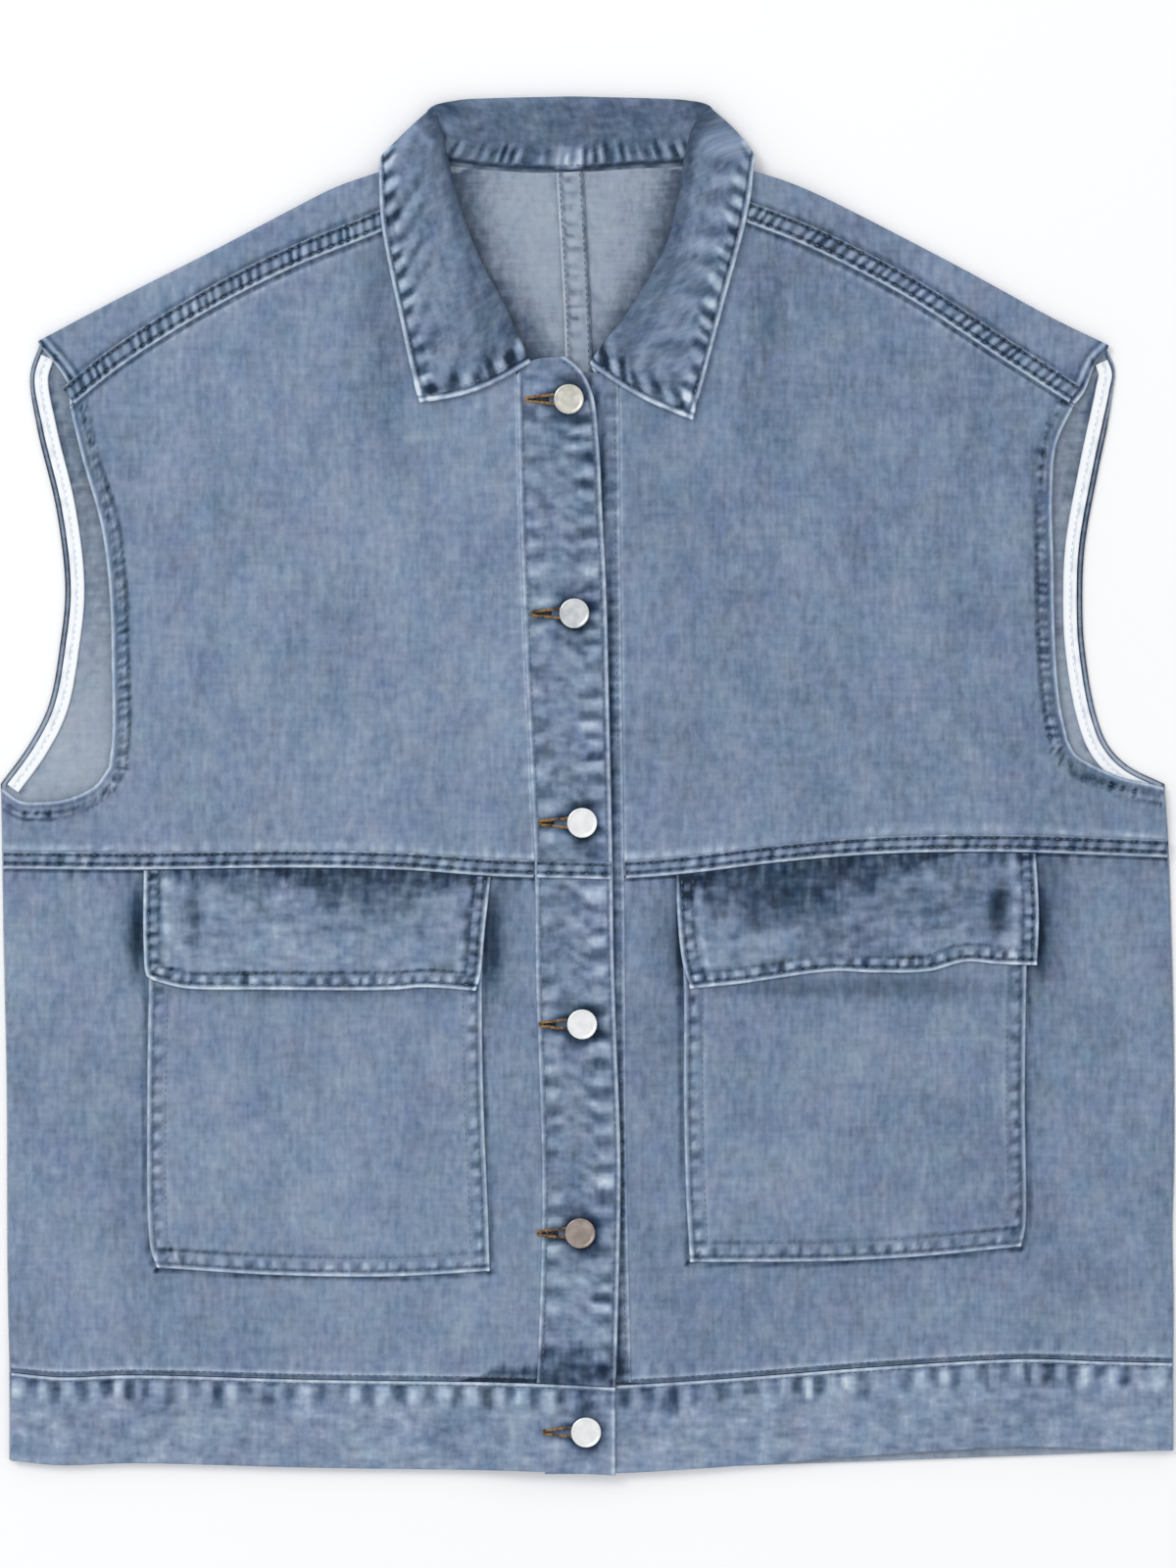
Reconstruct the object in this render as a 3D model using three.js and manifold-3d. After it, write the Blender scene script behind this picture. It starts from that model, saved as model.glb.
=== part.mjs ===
// Denim vest laid flat on its back, buttoned, seen from above.
// Millimetres, +X to the viewer's right, +Y towards the collar, +Z up from the surface.
// The origin is the middle of the outline, on the surface that the vest lies on.
// "right" and "left" are the wearer's, so the right front is the one at -X and laps over the left.

import * as THREE from 'three';
import { mergeVertices } from 'three/addons/utils/BufferGeometryUtils.js';
import Module from 'manifold-3d';

const wasm = await Module();
wasm.setup();

// Cloth
const PLY = 1.2;
const TWO_PLY = 2.0;
const TAPE_PLY = 1.0;
const SEAM_GAP = 0.3;
const HALF_GAP = SEAM_GAP / 2;

// How the layers lie on each other
const FRONT_CLEARANCE = 3.0;
const CENTRE_RISE = 1.0;
const OVERLAP_RISE = 2.3;
const NECK_LIFT = 2.7;
const SIDE_DROP = 1.5;
const HEM_DROP = 0.6;
const FOLD_RADIUS = FRONT_CLEARANCE / 2;

// Seams and trims
const FELL_WIDTH = 9;
const SHOULDER_FELL_WIDTH = 10.5;
const FELL_OVERHANG = 0.8;
const CENTRE_FELL_HALF = 7;
const TAPE_INSET = 3;
const TAPE_WIDTH = 7;
const HEM_WIDTH = 45;
const UNDER_PLACKET_WIDTH = 36;
const POCKET_TUCK = 14;
const FLAP_EASE = 0.2;
const HEM_LEVEL = -304.5;
const NECK_LEVEL = 211;
const UNDERARM_LEVEL = 1;
const BLADE_LEVEL = 250;
const ARMHOLE_BEND_LEVEL = 181;

// Buttons and buttonholes
const BUTTON_RADIUS = 8;
const POST_RADIUS = 2;
const TACK_RADIUS = 4.5;
const TACK_HEIGHT = 0.7;
const EYELET_RADIUS = 2.5;
const SLOT_WIDTH = 2;
const SLOT_LENGTH = 21;
const ROUND_SEGMENTS = 8;

const clamp = (value, low, high) => Math.min(high, Math.max(low, value));

/** 0 before low, 1 after high, smooth between them. */
function ramp(value, low, high) {
  const t = clamp((value - low) / (high - low), 0, 1);
  return t * t * (3 - 2 * t);
}

/** Rows of numbers as objects with named columns. */
function table(columns, rows) {
  return rows.map((row) => Object.fromEntries(columns.map((name, i) => [name, row[i]])));
}

// Outlines, as points that a smooth line runs through
const XY = ['x', 'y'];
const OUTLINE = {
  right: {
    backSide: table(XY, [[-295.5, -299], [-296.5, -249], [-297, -149], [-298.5, -79], [-299.5, -19], [-300, 1]]),
    backArmhole: table(XY, [[-300, 1], [-285.5, 21], [-275.5, 41], [-269.5, 73], [-267, 101], [-271.5, 141],
      [-281, 181], [-285.5, 209], [-281, 224]]),
    shoulder: table(XY, [[-281, 227], [-237.5, 250], [-194, 272], [-151, 294.5], [-129, 305.5], [-107.5, 313],
      [-87, 320]]),
    backNeck: table(XY, [[-87, 320], [-79, 319], [-66, 317.5], [-45.5, 315], [-25, 313.5], [-9.5, 313.5]]),
    shoulderSeam: table(XY, [[-264.8, 193.5], [-237.5, 215.5], [-194, 243], [-151, 265], [-107.4, 282.6],
      [-88, 291]]),
    capEdge: table(XY, [[-281, 224], [-269.5, 210.5], [-265.2, 203], [-264.8, 193.5]]),
    capNeck: table(XY, [[-87, 320], [-90, 307], [-88, 291]]),
    frontSide: table(XY, [[-294.3, -299], [-295.3, -249], [-295.8, -149], [-297.3, -79], [-298.3, -41.5]]),
    underarmSide: table(XY, [[-298.3, -41.5], [-298.8, -20], [-299, -1]]),
    armholeFoot: table(XY, [[-299, -1], [-289.5, -7.5], [-279, -8], [-268.5, -7], [-258, -3.5], [-251, 1],
      [-244.8, 9.7]]),
    armhole: table(XY, [[-244.8, 9.7], [-243, 25.5], [-243.2, 58], [-244.2, 95.5], [-248.3, 131], [-258.2, 167],
      [-264.8, 193.5]]),
    frontNeck: table(XY, [[-36.3, 210], [-42, 222.5], [-58, 236], [-72, 253], [-82, 272], [-88, 291]]),
    chestSeam: table(XY, [[-298.3, -41.5], [-230, -42], [-150, -41], [-96, -42], [-50, -45.2], [12.8, -47]]),
    hemSeam: table(XY, [[-294.3, -299.2], [-269.5, -301.5], [-233, -300.5], [-140, -302.8], [-30, -304.5],
      [14, -306.5]]),
  },
  left: {
    backSide: table(XY, [[299, -294], [299.2, -262], [298.6, -229], [299.5, -189], [299.3, -129], [298, -74],
      [296.5, -29], [294.5, 1]]),
    backArmhole: table(XY, [[294.5, 1], [275.5, 10.5], [265.5, 21], [259, 38], [253.5, 71], [252.5, 91],
      [253.5, 121], [260.5, 161], [269, 201], [270.5, 211], [267, 221.5]]),
    shoulder: table(XY, [[266, 225], [239, 238], [189.5, 265], [133.5, 294], [112.5, 304], [97, 310], [84, 314],
      [69, 320.5]]),
    backNeck: table(XY, [[69, 320.5], [61, 319.3], [46, 317.5], [24, 316], [-1, 313.8], [-9.5, 313.5]]),
    shoulderSeam: table(XY, [[248.5, 194.5], [214.3, 216.5], [164.5, 249], [133.5, 265.7], [108.5, 277.5],
      [82.5, 287.5], [70, 292]]),
    capEdge: table(XY, [[267, 221.5], [261, 215.5], [253.7, 200.5], [248.5, 194.5]]),
    capNeck: table(XY, [[69, 320.5], [72, 307], [70, 292]]),
    frontSide: table(XY, [[297.8, -294], [298, -262], [297.4, -229], [298.3, -189], [298.1, -129], [296.8, -74],
      [295.8, -35.8]]),
    underarmSide: table(XY, [[295.8, -35.8], [295, -18], [293.8, -0.5]]),
    armholeFoot: table(XY, [[293.8, -0.5], [282.5, 2.2], [273.8, 4], [260.8, 9.3], [254.3, 12.7], [248.9, 16.5],
      [245, 23.5]]),
    armhole: table(XY, [[245, 23.5], [240.9, 43], [238.3, 78], [237.7, 112], [237, 148.5], [239.4, 175],
      [248.5, 194.5]]),
    frontNeck: table(XY, [[15.6, 212], [30, 225], [44, 243], [56, 262], [66, 279], [70, 292]]),
    chestSeam: table(XY, [[295.8, -35.8], [209.5, -33], [145.5, -34.2], [98, -38.2], [50, -44], [17.5, -46.5],
      [-19, -47]]),
    hemSeam: table(XY, [[298.2, -294.2], [262.5, -293.4], [226.8, -292.2], [201, -293], [140, -296.8], [100, -300],
      [60, -303], [16, -305.5], [-22, -306]]),
  },
};
const BACK_HEM = { right: { x: -295.5, y: -299 }, centre: { x: -2, y: -305 }, left: { x: 299, y: -294 } };
const CENTRE_BACK = table(XY, [[-2, -305], [-2, -100], [-3, 1], [-5, 224], [-7, 270], [-9.5, 313.5]]);
const FRONT_EDGE = table(XY, [[14.3, -306.5], [15.8, -252], [16.7, -190], [14.5, -127], [13.2, -86], [12.5, -37],
  [11, 33], [9.3, 103], [7.5, 138], [5.8, 173], [3, 198], [-2.1, 210.2], [-7.3, 216], [-11.7, 219]]);
const PLACKET_LINE = table(XY, [[-26, -304.5], [-24, -250], [-23.3, -200], [-25, -140], [-26.4, -100],
  [-27, -45], [-28.8, 0], [-32, 68], [-35.1, 156], [-36.3, 210]]);
const PLACKET_TOP = table(XY, [[-36.3, 210], [-32, 215], [-26, 217.8], [-11.7, 219]]);
const UNDER_SEAM = table(XY, [[22, -304.5], [19.8, -200], [18.6, -60], [17.2, 60], [15.6, 212]]);

// Soft swells in the laid cloth: place, half lengths along and across, turn and height
const SWELLS = table(['x', 'y', 'along', 'across', 'turn', 'height'], [
  [-165, 95, 110, 42, 78, 1.0],
  [150, 100, 115, 40, 101, 1.1],
  [-232, -20, 55, 16, 28, 0.7],
  [236, -12, 55, 16, 152, 0.7],
  [-140, 215, 70, 22, 32, 0.8],
  [128, 212, 70, 22, 150, 0.8],
  [-262, -190, 85, 20, 92, 0.6],
  [262, -185, 90, 20, 88, 0.6],
]);

/** Height of the swells at a point. */
function swell(x, y) {
  let height = 0;
  for (const row of SWELLS) {
    const turn = THREE.MathUtils.degToRad(row.turn);
    const along = ((x - row.x) * Math.cos(turn) + (y - row.y) * Math.sin(turn)) / row.along;
    const across = (-(x - row.x) * Math.sin(turn) + (y - row.y) * Math.cos(turn)) / row.across;
    height += row.height * Math.exp(-along * along - across * across);
  }
  return height;
}

/** A smooth curve through the rows of a table. */
function curve(rows) {
  return new THREE.CatmullRomCurve3(rows.map((row) => new THREE.Vector3(row.x, row.y, 0)), false, 'centripetal');
}

/** count + 1 points spaced evenly along a table's curve, moved by dx and dy. */
function along(rows, count, dx = 0, dy = 0) {
  return curve(rows).getSpacedPoints(count).map((p) => p.add(new THREE.Vector3(dx, dy, 0)));
}

/** The stretch of a table's curve between two places, picked by a coordinate, as new rows. */
function stretch(rows, axis, from, to, count = 12) {
  const points = curve(rows).getSpacedPoints(400);
  const nearest = (value) => points.reduce((best, p, i) =>
    (Math.abs(p[axis] - value) < Math.abs(points[best][axis] - value) ? i : best), 0);
  const [a, b] = [nearest(from), nearest(to)];
  return Array.from({ length: count + 1 }, (_, i) => points[Math.round(a + ((b - a) * i) / count)]);
}

/** Several runs of points, joined end to start, with each shared point kept once. */
function chain(...runs) {
  return runs.flatMap((run, i) => (i === 0 ? run : run.slice(1)));
}

/** count + 1 points on the straight line between two points. */
function straight(from, to, count) {
  return Array.from({ length: count + 1 }, (_, i) => from.clone().lerp(to, i / count));
}

/** A net of points that fills four borders: rows run from the first border to the second. */
function fill(first, second, start, end) {
  const columns = first.length - 1;
  const rows = start.length - 1;
  return start.map((_, j) => first.map((__, i) => {
    const [s, t] = [i / columns, j / rows];
    const point = new THREE.Vector3();
    point.addScaledVector(first[i], 1 - t).addScaledVector(second[i], t);
    point.addScaledVector(start[j], 1 - s).addScaledVector(end[j], s);
    point.addScaledVector(first[0], -(1 - s) * (1 - t)).addScaledVector(first[columns], -s * (1 - t));
    point.addScaledVector(second[0], -(1 - s) * t).addScaledVector(second[columns], -s * t);
    return point;
  }));
}

/** Lays a net down: the middle of the cloth lies half its thickness above the floor. */
function lay(net, floor, thickness) {
  return net.map((row) => row.map((p) => new THREE.Vector3(p.x, p.y, floor(p.x, p.y) + thickness / 2)));
}

/** Joined nets of middle points as one sheet with shared points, its faces and its normals. */
function sheetOf(nets) {
  const points = [];
  const seen = new Map();
  const quads = [];
  const indexOf = (p) => {
    const key = [p.x, p.y, p.z].map((value) => Math.round(value * 1e3)).join();
    if (!seen.has(key)) {
      seen.set(key, points.length);
      points.push(p.clone());
    }
    return seen.get(key);
  };
  for (const net of nets) {
    const ids = net.map((row) => row.map(indexOf));
    for (let j = 0; j + 1 < ids.length; j += 1) {
      for (let i = 0; i + 1 < ids[0].length; i += 1) {
        quads.push([ids[j][i], ids[j][i + 1], ids[j + 1][i + 1], ids[j + 1][i]]);
      }
    }
  }
  const normals = points.map(() => new THREE.Vector3());
  for (const [a, b, c, d] of quads) {
    const across = points[c].clone().sub(points[a]);
    const normal = across.cross(points[d].clone().sub(points[b]));
    for (const id of [a, b, c, d]) {
      normals[id].add(normal);
    }
  }
  normals.forEach((normal) => normal.normalize());
  return { points, quads, normals };
}

/** A closed wall between two offsets of a sheet, with a rim along its open edges. */
function wall(nets, above, below) {
  const { points, quads, normals } = sheetOf(nets);
  const count = points.length;
  const positions = [above, -below].flatMap((offset) =>
    points.flatMap((p, i) => p.clone().addScaledVector(normals[i], offset).toArray()));
  const triangles = [];
  const edges = new Map();
  for (const [a, b, c, d] of quads) {
    triangles.push(a, b, c, a, c, d);
    triangles.push(count + a, count + c, count + b, count + a, count + d, count + c);
    for (const [from, to] of [[a, b], [b, c], [c, d], [d, a]]) {
      if (edges.has(`${to},${from}`)) {
        edges.delete(`${to},${from}`);
      } else {
        edges.set(`${from},${to}`, [from, to]);
      }
    }
  }
  for (const [from, to] of edges.values()) {
    triangles.push(from, count + from, count + to, from, count + to, to);
  }
  const geometry = new THREE.BufferGeometry();
  geometry.setAttribute('position', new THREE.Float32BufferAttribute(positions, 3));
  geometry.setIndex(triangles);
  return geometry;
}

const DENIM = new THREE.MeshStandardMaterial({ color: 0x7288a6, roughness: 0.9, metalness: 0 });
const DENIM_INSIDE = new THREE.MeshStandardMaterial({ color: 0x93a0b0, roughness: 0.92, metalness: 0 });
const WHITE_TAPE = new THREE.MeshStandardMaterial({ color: 0xe6ecf2, roughness: 0.85, metalness: 0 });
const NICKEL = new THREE.MeshStandardMaterial({ color: 0xd9dad8, roughness: 0.35, metalness: 0.9 });

const vest = new THREE.Group();

/** Adds a named piece to the vest. */
function add(name, geometry, material) {
  geometry.computeVertexNormals();
  const mesh = new THREE.Mesh(geometry, material);
  mesh.name = name;
  vest.add(mesh);
  return mesh;
}

/** Adds a piece of cloth made of nets of middle points. */
function addCloth(name, nets, thickness, material = DENIM) {
  return add(name, wall(nets, thickness / 2, thickness / 2), material);
}

// Floors: how high the underside of each layer lies

/** The back rides over the fall of the collar, which lies under it at the neck. */
function backFloor(x, y) {
  return NECK_LIFT * ramp(y, 262, 299) * ramp(x, -185, -109) * (1 - ramp(x, 87, 163));
}

/** The fronts lie on the back, roll down to it at the sides and rise over the placket. */
function frontFloor(x, y) {
  const edge = 299 - Math.abs(x);
  const deepest = THREE.MathUtils.lerp(HEM_DROP, SIDE_DROP, ramp(y, -290, -260));
  const drop = deepest * (1 - ramp(edge, 1, 9)) * (1 - ramp(y, -30, -14));
  const centre = CENTRE_RISE * (1 - ramp(Math.abs(x), 30, 90));
  const soft = swell(x, y) * ramp(edge, 0, 30);
  return backFloor(x, y) + FRONT_CLEARANCE + centre + soft - drop;
}

/** The right front also climbs onto the left placket that it laps over. */
function rightFloor(x, y) {
  return frontFloor(x, y) + OVERLAP_RISE * ramp(x, -64, -25);
}

const FLOOR = { right: rightFloor, left: frontFloor };
const SIDES = ['right', 'left'];

/** Turns rows round on the left, so that every net runs towards +X. */
function facing(side, net) {
  return side === 'right' ? net : net.map((row) => [...row].reverse());
}

// Columns and rows of the nets
const SHOULDER_COLUMNS = 10;
const NECK_COLUMNS = 4;
const BACK_LOW_ROWS = 4;
const BACK_MIDDLE_ROWS = 7;
const BACK_HIGH_ROWS = 6;
const FOLD_ROWS = 4;
const CAP_ROWS = 2;
const TAPE_ROWS = 18;
const FELL_COLUMNS = 14;
const HEM_COLUMNS = 24;

/** Points of the shoulder fold: where the back leaves the surface and which way is out. */
function shoulderFold(side) {
  const outer = along(OUTLINE[side].shoulder, SHOULDER_COLUMNS);
  return outer.map((p, i) => {
    const before = outer[Math.max(0, i - 1)];
    const after = outer[Math.min(outer.length - 1, i + 1)];
    const run = after.clone().sub(before).normalize();
    const out = new THREE.Vector3(-run.y, run.x, 0);
    if (out.y < 0) out.negate();
    return { out, start: p.clone().addScaledVector(out, -(FOLD_RADIUS + PLY / 2)) };
  });
}

/** Points on the centre back seam, with the gap of the seam to one side. */
function centreBack(side, from, to, count) {
  return along(stretch(CENTRE_BACK, 'y', from, to), count, side === 'right' ? -HALF_GAP : HALF_GAP, 0);
}

/** One half of the back, from the hem to the neck, folded over the shoulder to the front seam. */
function backPanel(side) {
  const rows = OUTLINE[side];
  const fold = shoulderFold(side);
  const foldLine = fold.map((f) => f.start);
  const neck = along(rows.backNeck, NECK_COLUMNS);
  neck[0] = foldLine[SHOULDER_COLUMNS].clone();
  const top = chain(foldLine, neck);
  const columns = SHOULDER_COLUMNS + NECK_COLUMNS;
  const outer = [
    along(rows.backSide, BACK_LOW_ROWS),
    along(stretch(rows.backArmhole, 'y', UNDERARM_LEVEL, ARMHOLE_BEND_LEVEL), BACK_MIDDLE_ROWS),
    along(stretch(rows.backArmhole, 'y', ARMHOLE_BEND_LEVEL, rows.capEdge[0].y), BACK_HIGH_ROWS),
  ];
  const inner = [
    centreBack(side, BACK_HEM.centre.y, UNDERARM_LEVEL, BACK_LOW_ROWS),
    centreBack(side, UNDERARM_LEVEL, BLADE_LEVEL, BACK_MIDDLE_ROWS),
    centreBack(side, BLADE_LEVEL, CENTRE_BACK[CENTRE_BACK.length - 1].y, BACK_HIGH_ROWS),
  ];
  outer[0][0].y += HALF_GAP;
  inner[0][0].y += HALF_GAP;
  outer[2][BACK_HIGH_ROWS] = foldLine[0].clone();
  inner[2][BACK_HIGH_ROWS].y = neck[NECK_COLUMNS].y;
  top[columns] = inner[2][BACK_HIGH_ROWS];
  const levels = [0, 1, 2].map((i) => straight(outer[i][0], inner[i][0], columns));
  levels.push(top);
  const flat = [0, 1, 2].map((i) => {
    outer[i][outer[i].length - 1] = levels[i + 1][0];
    inner[i][inner[i].length - 1] = levels[i + 1][columns];
    return lay(fill(levels[i], levels[i + 1], outer[i], inner[i]), backFloor, PLY);
  });
  const arcs = Array.from({ length: FOLD_ROWS + 1 }, (_, k) => fold.map(({ out, start }) => {
    const angle = (Math.PI * k) / FOLD_ROWS;
    const under = backFloor(start.x, start.y) + PLY / 2;
    const over = frontFloor(start.x, start.y) + PLY / 2;
    const radius = (over - under) / 2;
    const point = start.clone().addScaledVector(out, radius * Math.sin(angle));
    point.z = under + radius * (1 - Math.cos(angle));
    return point;
  }));
  const seam = along(rows.shoulderSeam, SHOULDER_COLUMNS, 0, HALF_GAP);
  const capEdge = along(rows.capEdge, CAP_ROWS);
  capEdge[0] = foldLine[0].clone();
  capEdge[CAP_ROWS] = seam[0].clone();
  const capNeck = along(rows.capNeck, CAP_ROWS);
  capNeck[0] = foldLine[SHOULDER_COLUMNS].clone();
  capNeck[CAP_ROWS] = seam[SHOULDER_COLUMNS].clone();
  const cap = lay(fill(foldLine, seam, capEdge, capNeck), frontFloor, PLY);
  return [...flat, arcs, cap].map((net) => facing(side, net));
}

for (const side of SIDES) {
  addCloth(`back_${side}`, backPanel(side), PLY, DENIM_INSIDE);
}

// Felled centre back seam, on the inside of the back, which ends short of the hem and the neck
{
  const [foot, top] = [-303.5, 313.2];
  const line = chain(
    along(stretch(CENTRE_BACK, 'y', foot, UNDERARM_LEVEL), BACK_LOW_ROWS),
    along(stretch(CENTRE_BACK, 'y', UNDERARM_LEVEL, BLADE_LEVEL), BACK_MIDDLE_ROWS),
    along(stretch(CENTRE_BACK, 'y', BLADE_LEVEL, top), BACK_HIGH_ROWS),
  );
  const net = line.map((p) => [-CENTRE_FELL_HALF, 0, CENTRE_FELL_HALF].map((dx) =>
    new THREE.Vector3(p.x + dx, p.y, 0)));
  addCloth('centre_back_fell', [lay(net, (x, y) => backFloor(x, y) + PLY + SEAM_GAP, PLY)], PLY, DENIM_INSIDE);
}

/** Points moved sideways in plan by a distance, to the left of the way they run. */
function beside(points, distance) {
  return points.map((p, i) => {
    const run = points[Math.min(points.length - 1, i + 1)].clone().sub(points[Math.max(0, i - 1)]).normalize();
    return new THREE.Vector3(p.x - run.y * distance, p.y + run.x * distance, 0);
  });
}

/** A strip of cloth between two offsets of a line, laid on what lies at a floor. */
function strip(points, near, far, floor, thickness) {
  const rows = [near, (near + far) / 2, far].map((distance) => beside(points, distance));
  const upward = rows[0][0].clone().sub(rows[0][1]).cross(rows[0][1].clone().sub(rows[1][1])).z > 0;
  return lay(upward ? rows : [...rows].reverse(), floor, thickness);
}

// White tape that binds the armhole, on the inside of the back
for (const side of SIDES) {
  const turn = side === 'right' ? -1 : 1;
  const line = along(OUTLINE[side].backArmhole, TAPE_ROWS).slice(1, -1);
  const floor = (x, y) => backFloor(x, y) + PLY + SEAM_GAP;
  const net = strip(line, turn * TAPE_INSET, turn * (TAPE_INSET + TAPE_WIDTH), floor, TAPE_PLY);
  addCloth(`armhole_tape_${side}`, [net], TAPE_PLY, WHITE_TAPE);
}

/** The line where a front meets its placket, with the gap of the seam. */
function placketSide(side, from, to, count) {
  const rows = side === 'right' ? PLACKET_LINE : UNDER_SEAM;
  const gap = side === 'right' ? -SEAM_GAP : SEAM_GAP;
  return along(stretch(rows, 'y', from, to), count, gap, 0);
}

// Where the waist seam meets the placket seam: levels of the cuts above and below it, and where its fell ends
const WAIST_END = {
  right: { above: -44.8, below: -45.2, fell: -27.8 },
  left: { above: -46.3, below: -46.5, fell: 19.4 },
};
const FOOT_COLUMNS = 3;
const FRONT_COLUMNS = 10;
const CHEST_ROWS = 3;
const FRONT_ROWS = 7;
const NECK_ROWS = 4;
const LOWER_ROWS = 10;

/** Upper front, from the seam at the waist to the shoulder, cut round the armhole and the neck. */
function frontUpper(side) {
  const rows = OUTLINE[side];
  const foot = along(rows.armholeFoot, FOOT_COLUMNS);
  const low = placketSide(side, WAIST_END[side].above, foot[FOOT_COLUMNS].y, CHEST_ROWS);
  const high = placketSide(side, foot[FOOT_COLUMNS].y, NECK_LEVEL, FRONT_ROWS);
  const neck = along(rows.frontNeck, NECK_ROWS);
  neck[0] = high[FRONT_ROWS];
  const shoulder = along(rows.shoulderSeam, FRONT_COLUMNS, 0, -HALF_GAP);
  neck[NECK_ROWS] = shoulder[FRONT_COLUMNS];
  const armhole = along(rows.armhole, FRONT_ROWS + NECK_ROWS);
  armhole[armhole.length - 1] = shoulder[0];
  const waist = along(stretch(rows.chestSeam, 'x', rows.chestSeam[0].x, low[0].x), FOOT_COLUMNS + FRONT_COLUMNS,
    0, HALF_GAP);
  low[0] = waist[waist.length - 1];
  const underarm = along(rows.underarmSide, CHEST_ROWS);
  underarm[0] = waist[0];
  const across = straight(foot[FOOT_COLUMNS], high[0], FRONT_COLUMNS);
  low[CHEST_ROWS] = high[0];
  const nets = [
    fill(waist, chain(foot, across), underarm, low),
    fill(across, shoulder, armhole, chain(high, neck)),
  ];
  return nets.map((net) => facing(side, lay(net, FLOOR[side], PLY)));
}

/** Lower front, from the seam at the waist to the hem band. */
function frontLower(side) {
  const rows = OUTLINE[side];
  const columns = FOOT_COLUMNS + FRONT_COLUMNS;
  const inner = placketSide(side, HEM_LEVEL, WAIST_END[side].below, LOWER_ROWS);
  const outer = along(rows.frontSide, LOWER_ROWS);
  const hem = along(stretch(rows.hemSeam, 'x', rows.hemSeam[0].x, inner[0].x), columns, 0, HALF_GAP);
  const waist = along(stretch(rows.chestSeam, 'x', rows.chestSeam[0].x, inner[LOWER_ROWS].x), columns, 0, -HALF_GAP);
  inner[0] = hem[columns];
  inner[LOWER_ROWS] = waist[columns];
  outer[0] = hem[0];
  outer[LOWER_ROWS] = waist[0];
  return [facing(side, lay(fill(hem, waist, outer, inner), FLOOR[side], PLY))];
}

/** Height of what lies on the cloth of a front. */
const onFront = (side) => (x, y) => FLOOR[side](x, y) + PLY + SEAM_GAP;

for (const side of SIDES) {
  const rows = OUTLINE[side];
  addCloth(`front_upper_${side}`, frontUpper(side), PLY);
  addCloth(`front_lower_${side}`, frontLower(side), PLY);
  const turn = side === 'right' ? 1 : -1;
  const waist = along(stretch(rows.chestSeam, 'x', rows.chestSeam[0].x, WAIST_END[side].fell), FELL_COLUMNS);
  addCloth(`waist_fell_${side}`,
    [strip(waist, -turn * FELL_OVERHANG, turn * (FELL_WIDTH - FELL_OVERHANG), onFront(side), PLY)], PLY);
  const shoulder = along(rows.shoulderSeam, SHOULDER_COLUMNS);
  addCloth(`shoulder_fell_${side}`,
    [strip(shoulder, -turn * FELL_OVERHANG, turn * (SHOULDER_FELL_WIDTH - FELL_OVERHANG), onFront(side), PLY)], PLY);
}

// Plackets and hem bands
const PLACKET_COLUMNS = 4;
const PLACKET_ROWS = 20;
const PLACKET_FELL = { from: -26.2, to: 11.8 };
const CUT_DEPTH = 20;
const BUTTONS = table(XY, [[-9.8, 197.2], [-7, 88], [-3, -18.8], [-3, -121.5], [-4, -228], [-1, -329.5]]);

/** The right placket, which laps over and carries the buttonholes. */
function overPlacket() {
  const left = along(PLACKET_LINE, PLACKET_ROWS, HALF_GAP, 0);
  const edge = along(FRONT_EDGE, PLACKET_ROWS);
  const top = along(PLACKET_TOP, PLACKET_COLUMNS);
  top[0] = left[PLACKET_ROWS];
  top[PLACKET_COLUMNS] = edge[PLACKET_ROWS];
  const bottom = straight(left[0], edge[0], PLACKET_COLUMNS);
  return lay(fill(bottom, top, left, edge), rightFloor, TWO_PLY);
}

/** The left placket, which lies under and carries the buttons. */
function underPlacket() {
  const seam = along(stretch(UNDER_SEAM, 'y', HEM_LEVEL, NECK_LEVEL), PLACKET_ROWS, -HALF_GAP, 0);
  const net = seam.map((p) => straight(new THREE.Vector3(p.x - UNDER_PLACKET_WIDTH, p.y, 0), p, PLACKET_COLUMNS));
  return lay(net, frontFloor, TWO_PLY);
}

/** A hem band, hung from the points of a seam. */
function hemBand(seam, floor) {
  const rows = [1, 0.5, 0].map((t) => seam.map((p) => new THREE.Vector3(p.x, p.y - HALF_GAP - HEM_WIDTH * t, 0)));
  const rightwards = seam[0].x < seam[1].x;
  return lay(rightwards ? rows : rows.map((row) => [...row].reverse()), floor, TWO_PLY);
}

/** A closed mesh as a solid that can be joined and cut. */
function solid(geometry) {
  const merged = geometry.clone();
  merged.deleteAttribute('normal');
  merged.deleteAttribute('uv');
  const welded = mergeVertices(merged, 1e-4);
  return new wasm.Manifold(new wasm.Mesh({
    numProp: 3,
    vertProperties: new Float32Array(welded.attributes.position.array),
    triVerts: new Uint32Array(welded.index.array),
  }));
}

/** A geometry from a solid. */
function geometryOf(shape) {
  const mesh = shape.getMesh();
  const geometry = new THREE.BufferGeometry();
  geometry.setAttribute('position', new THREE.Float32BufferAttribute(mesh.vertProperties, 3));
  geometry.setIndex([...mesh.triVerts]);
  return geometry;
}

/** Cuts upright holes of an outline through a geometry, one at each place. */
function pierce(geometry, outline, places) {
  let shape = solid(geometry);
  for (const { x, y } of places) {
    const cutter = new THREE.ExtrudeGeometry(outline, { depth: CUT_DEPTH, bevelEnabled: false, curveSegments: ROUND_SEGMENTS });
    shape = shape.subtract(solid(cutter.translate(x, y, 0)));
  }
  return geometryOf(shape);
}

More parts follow.
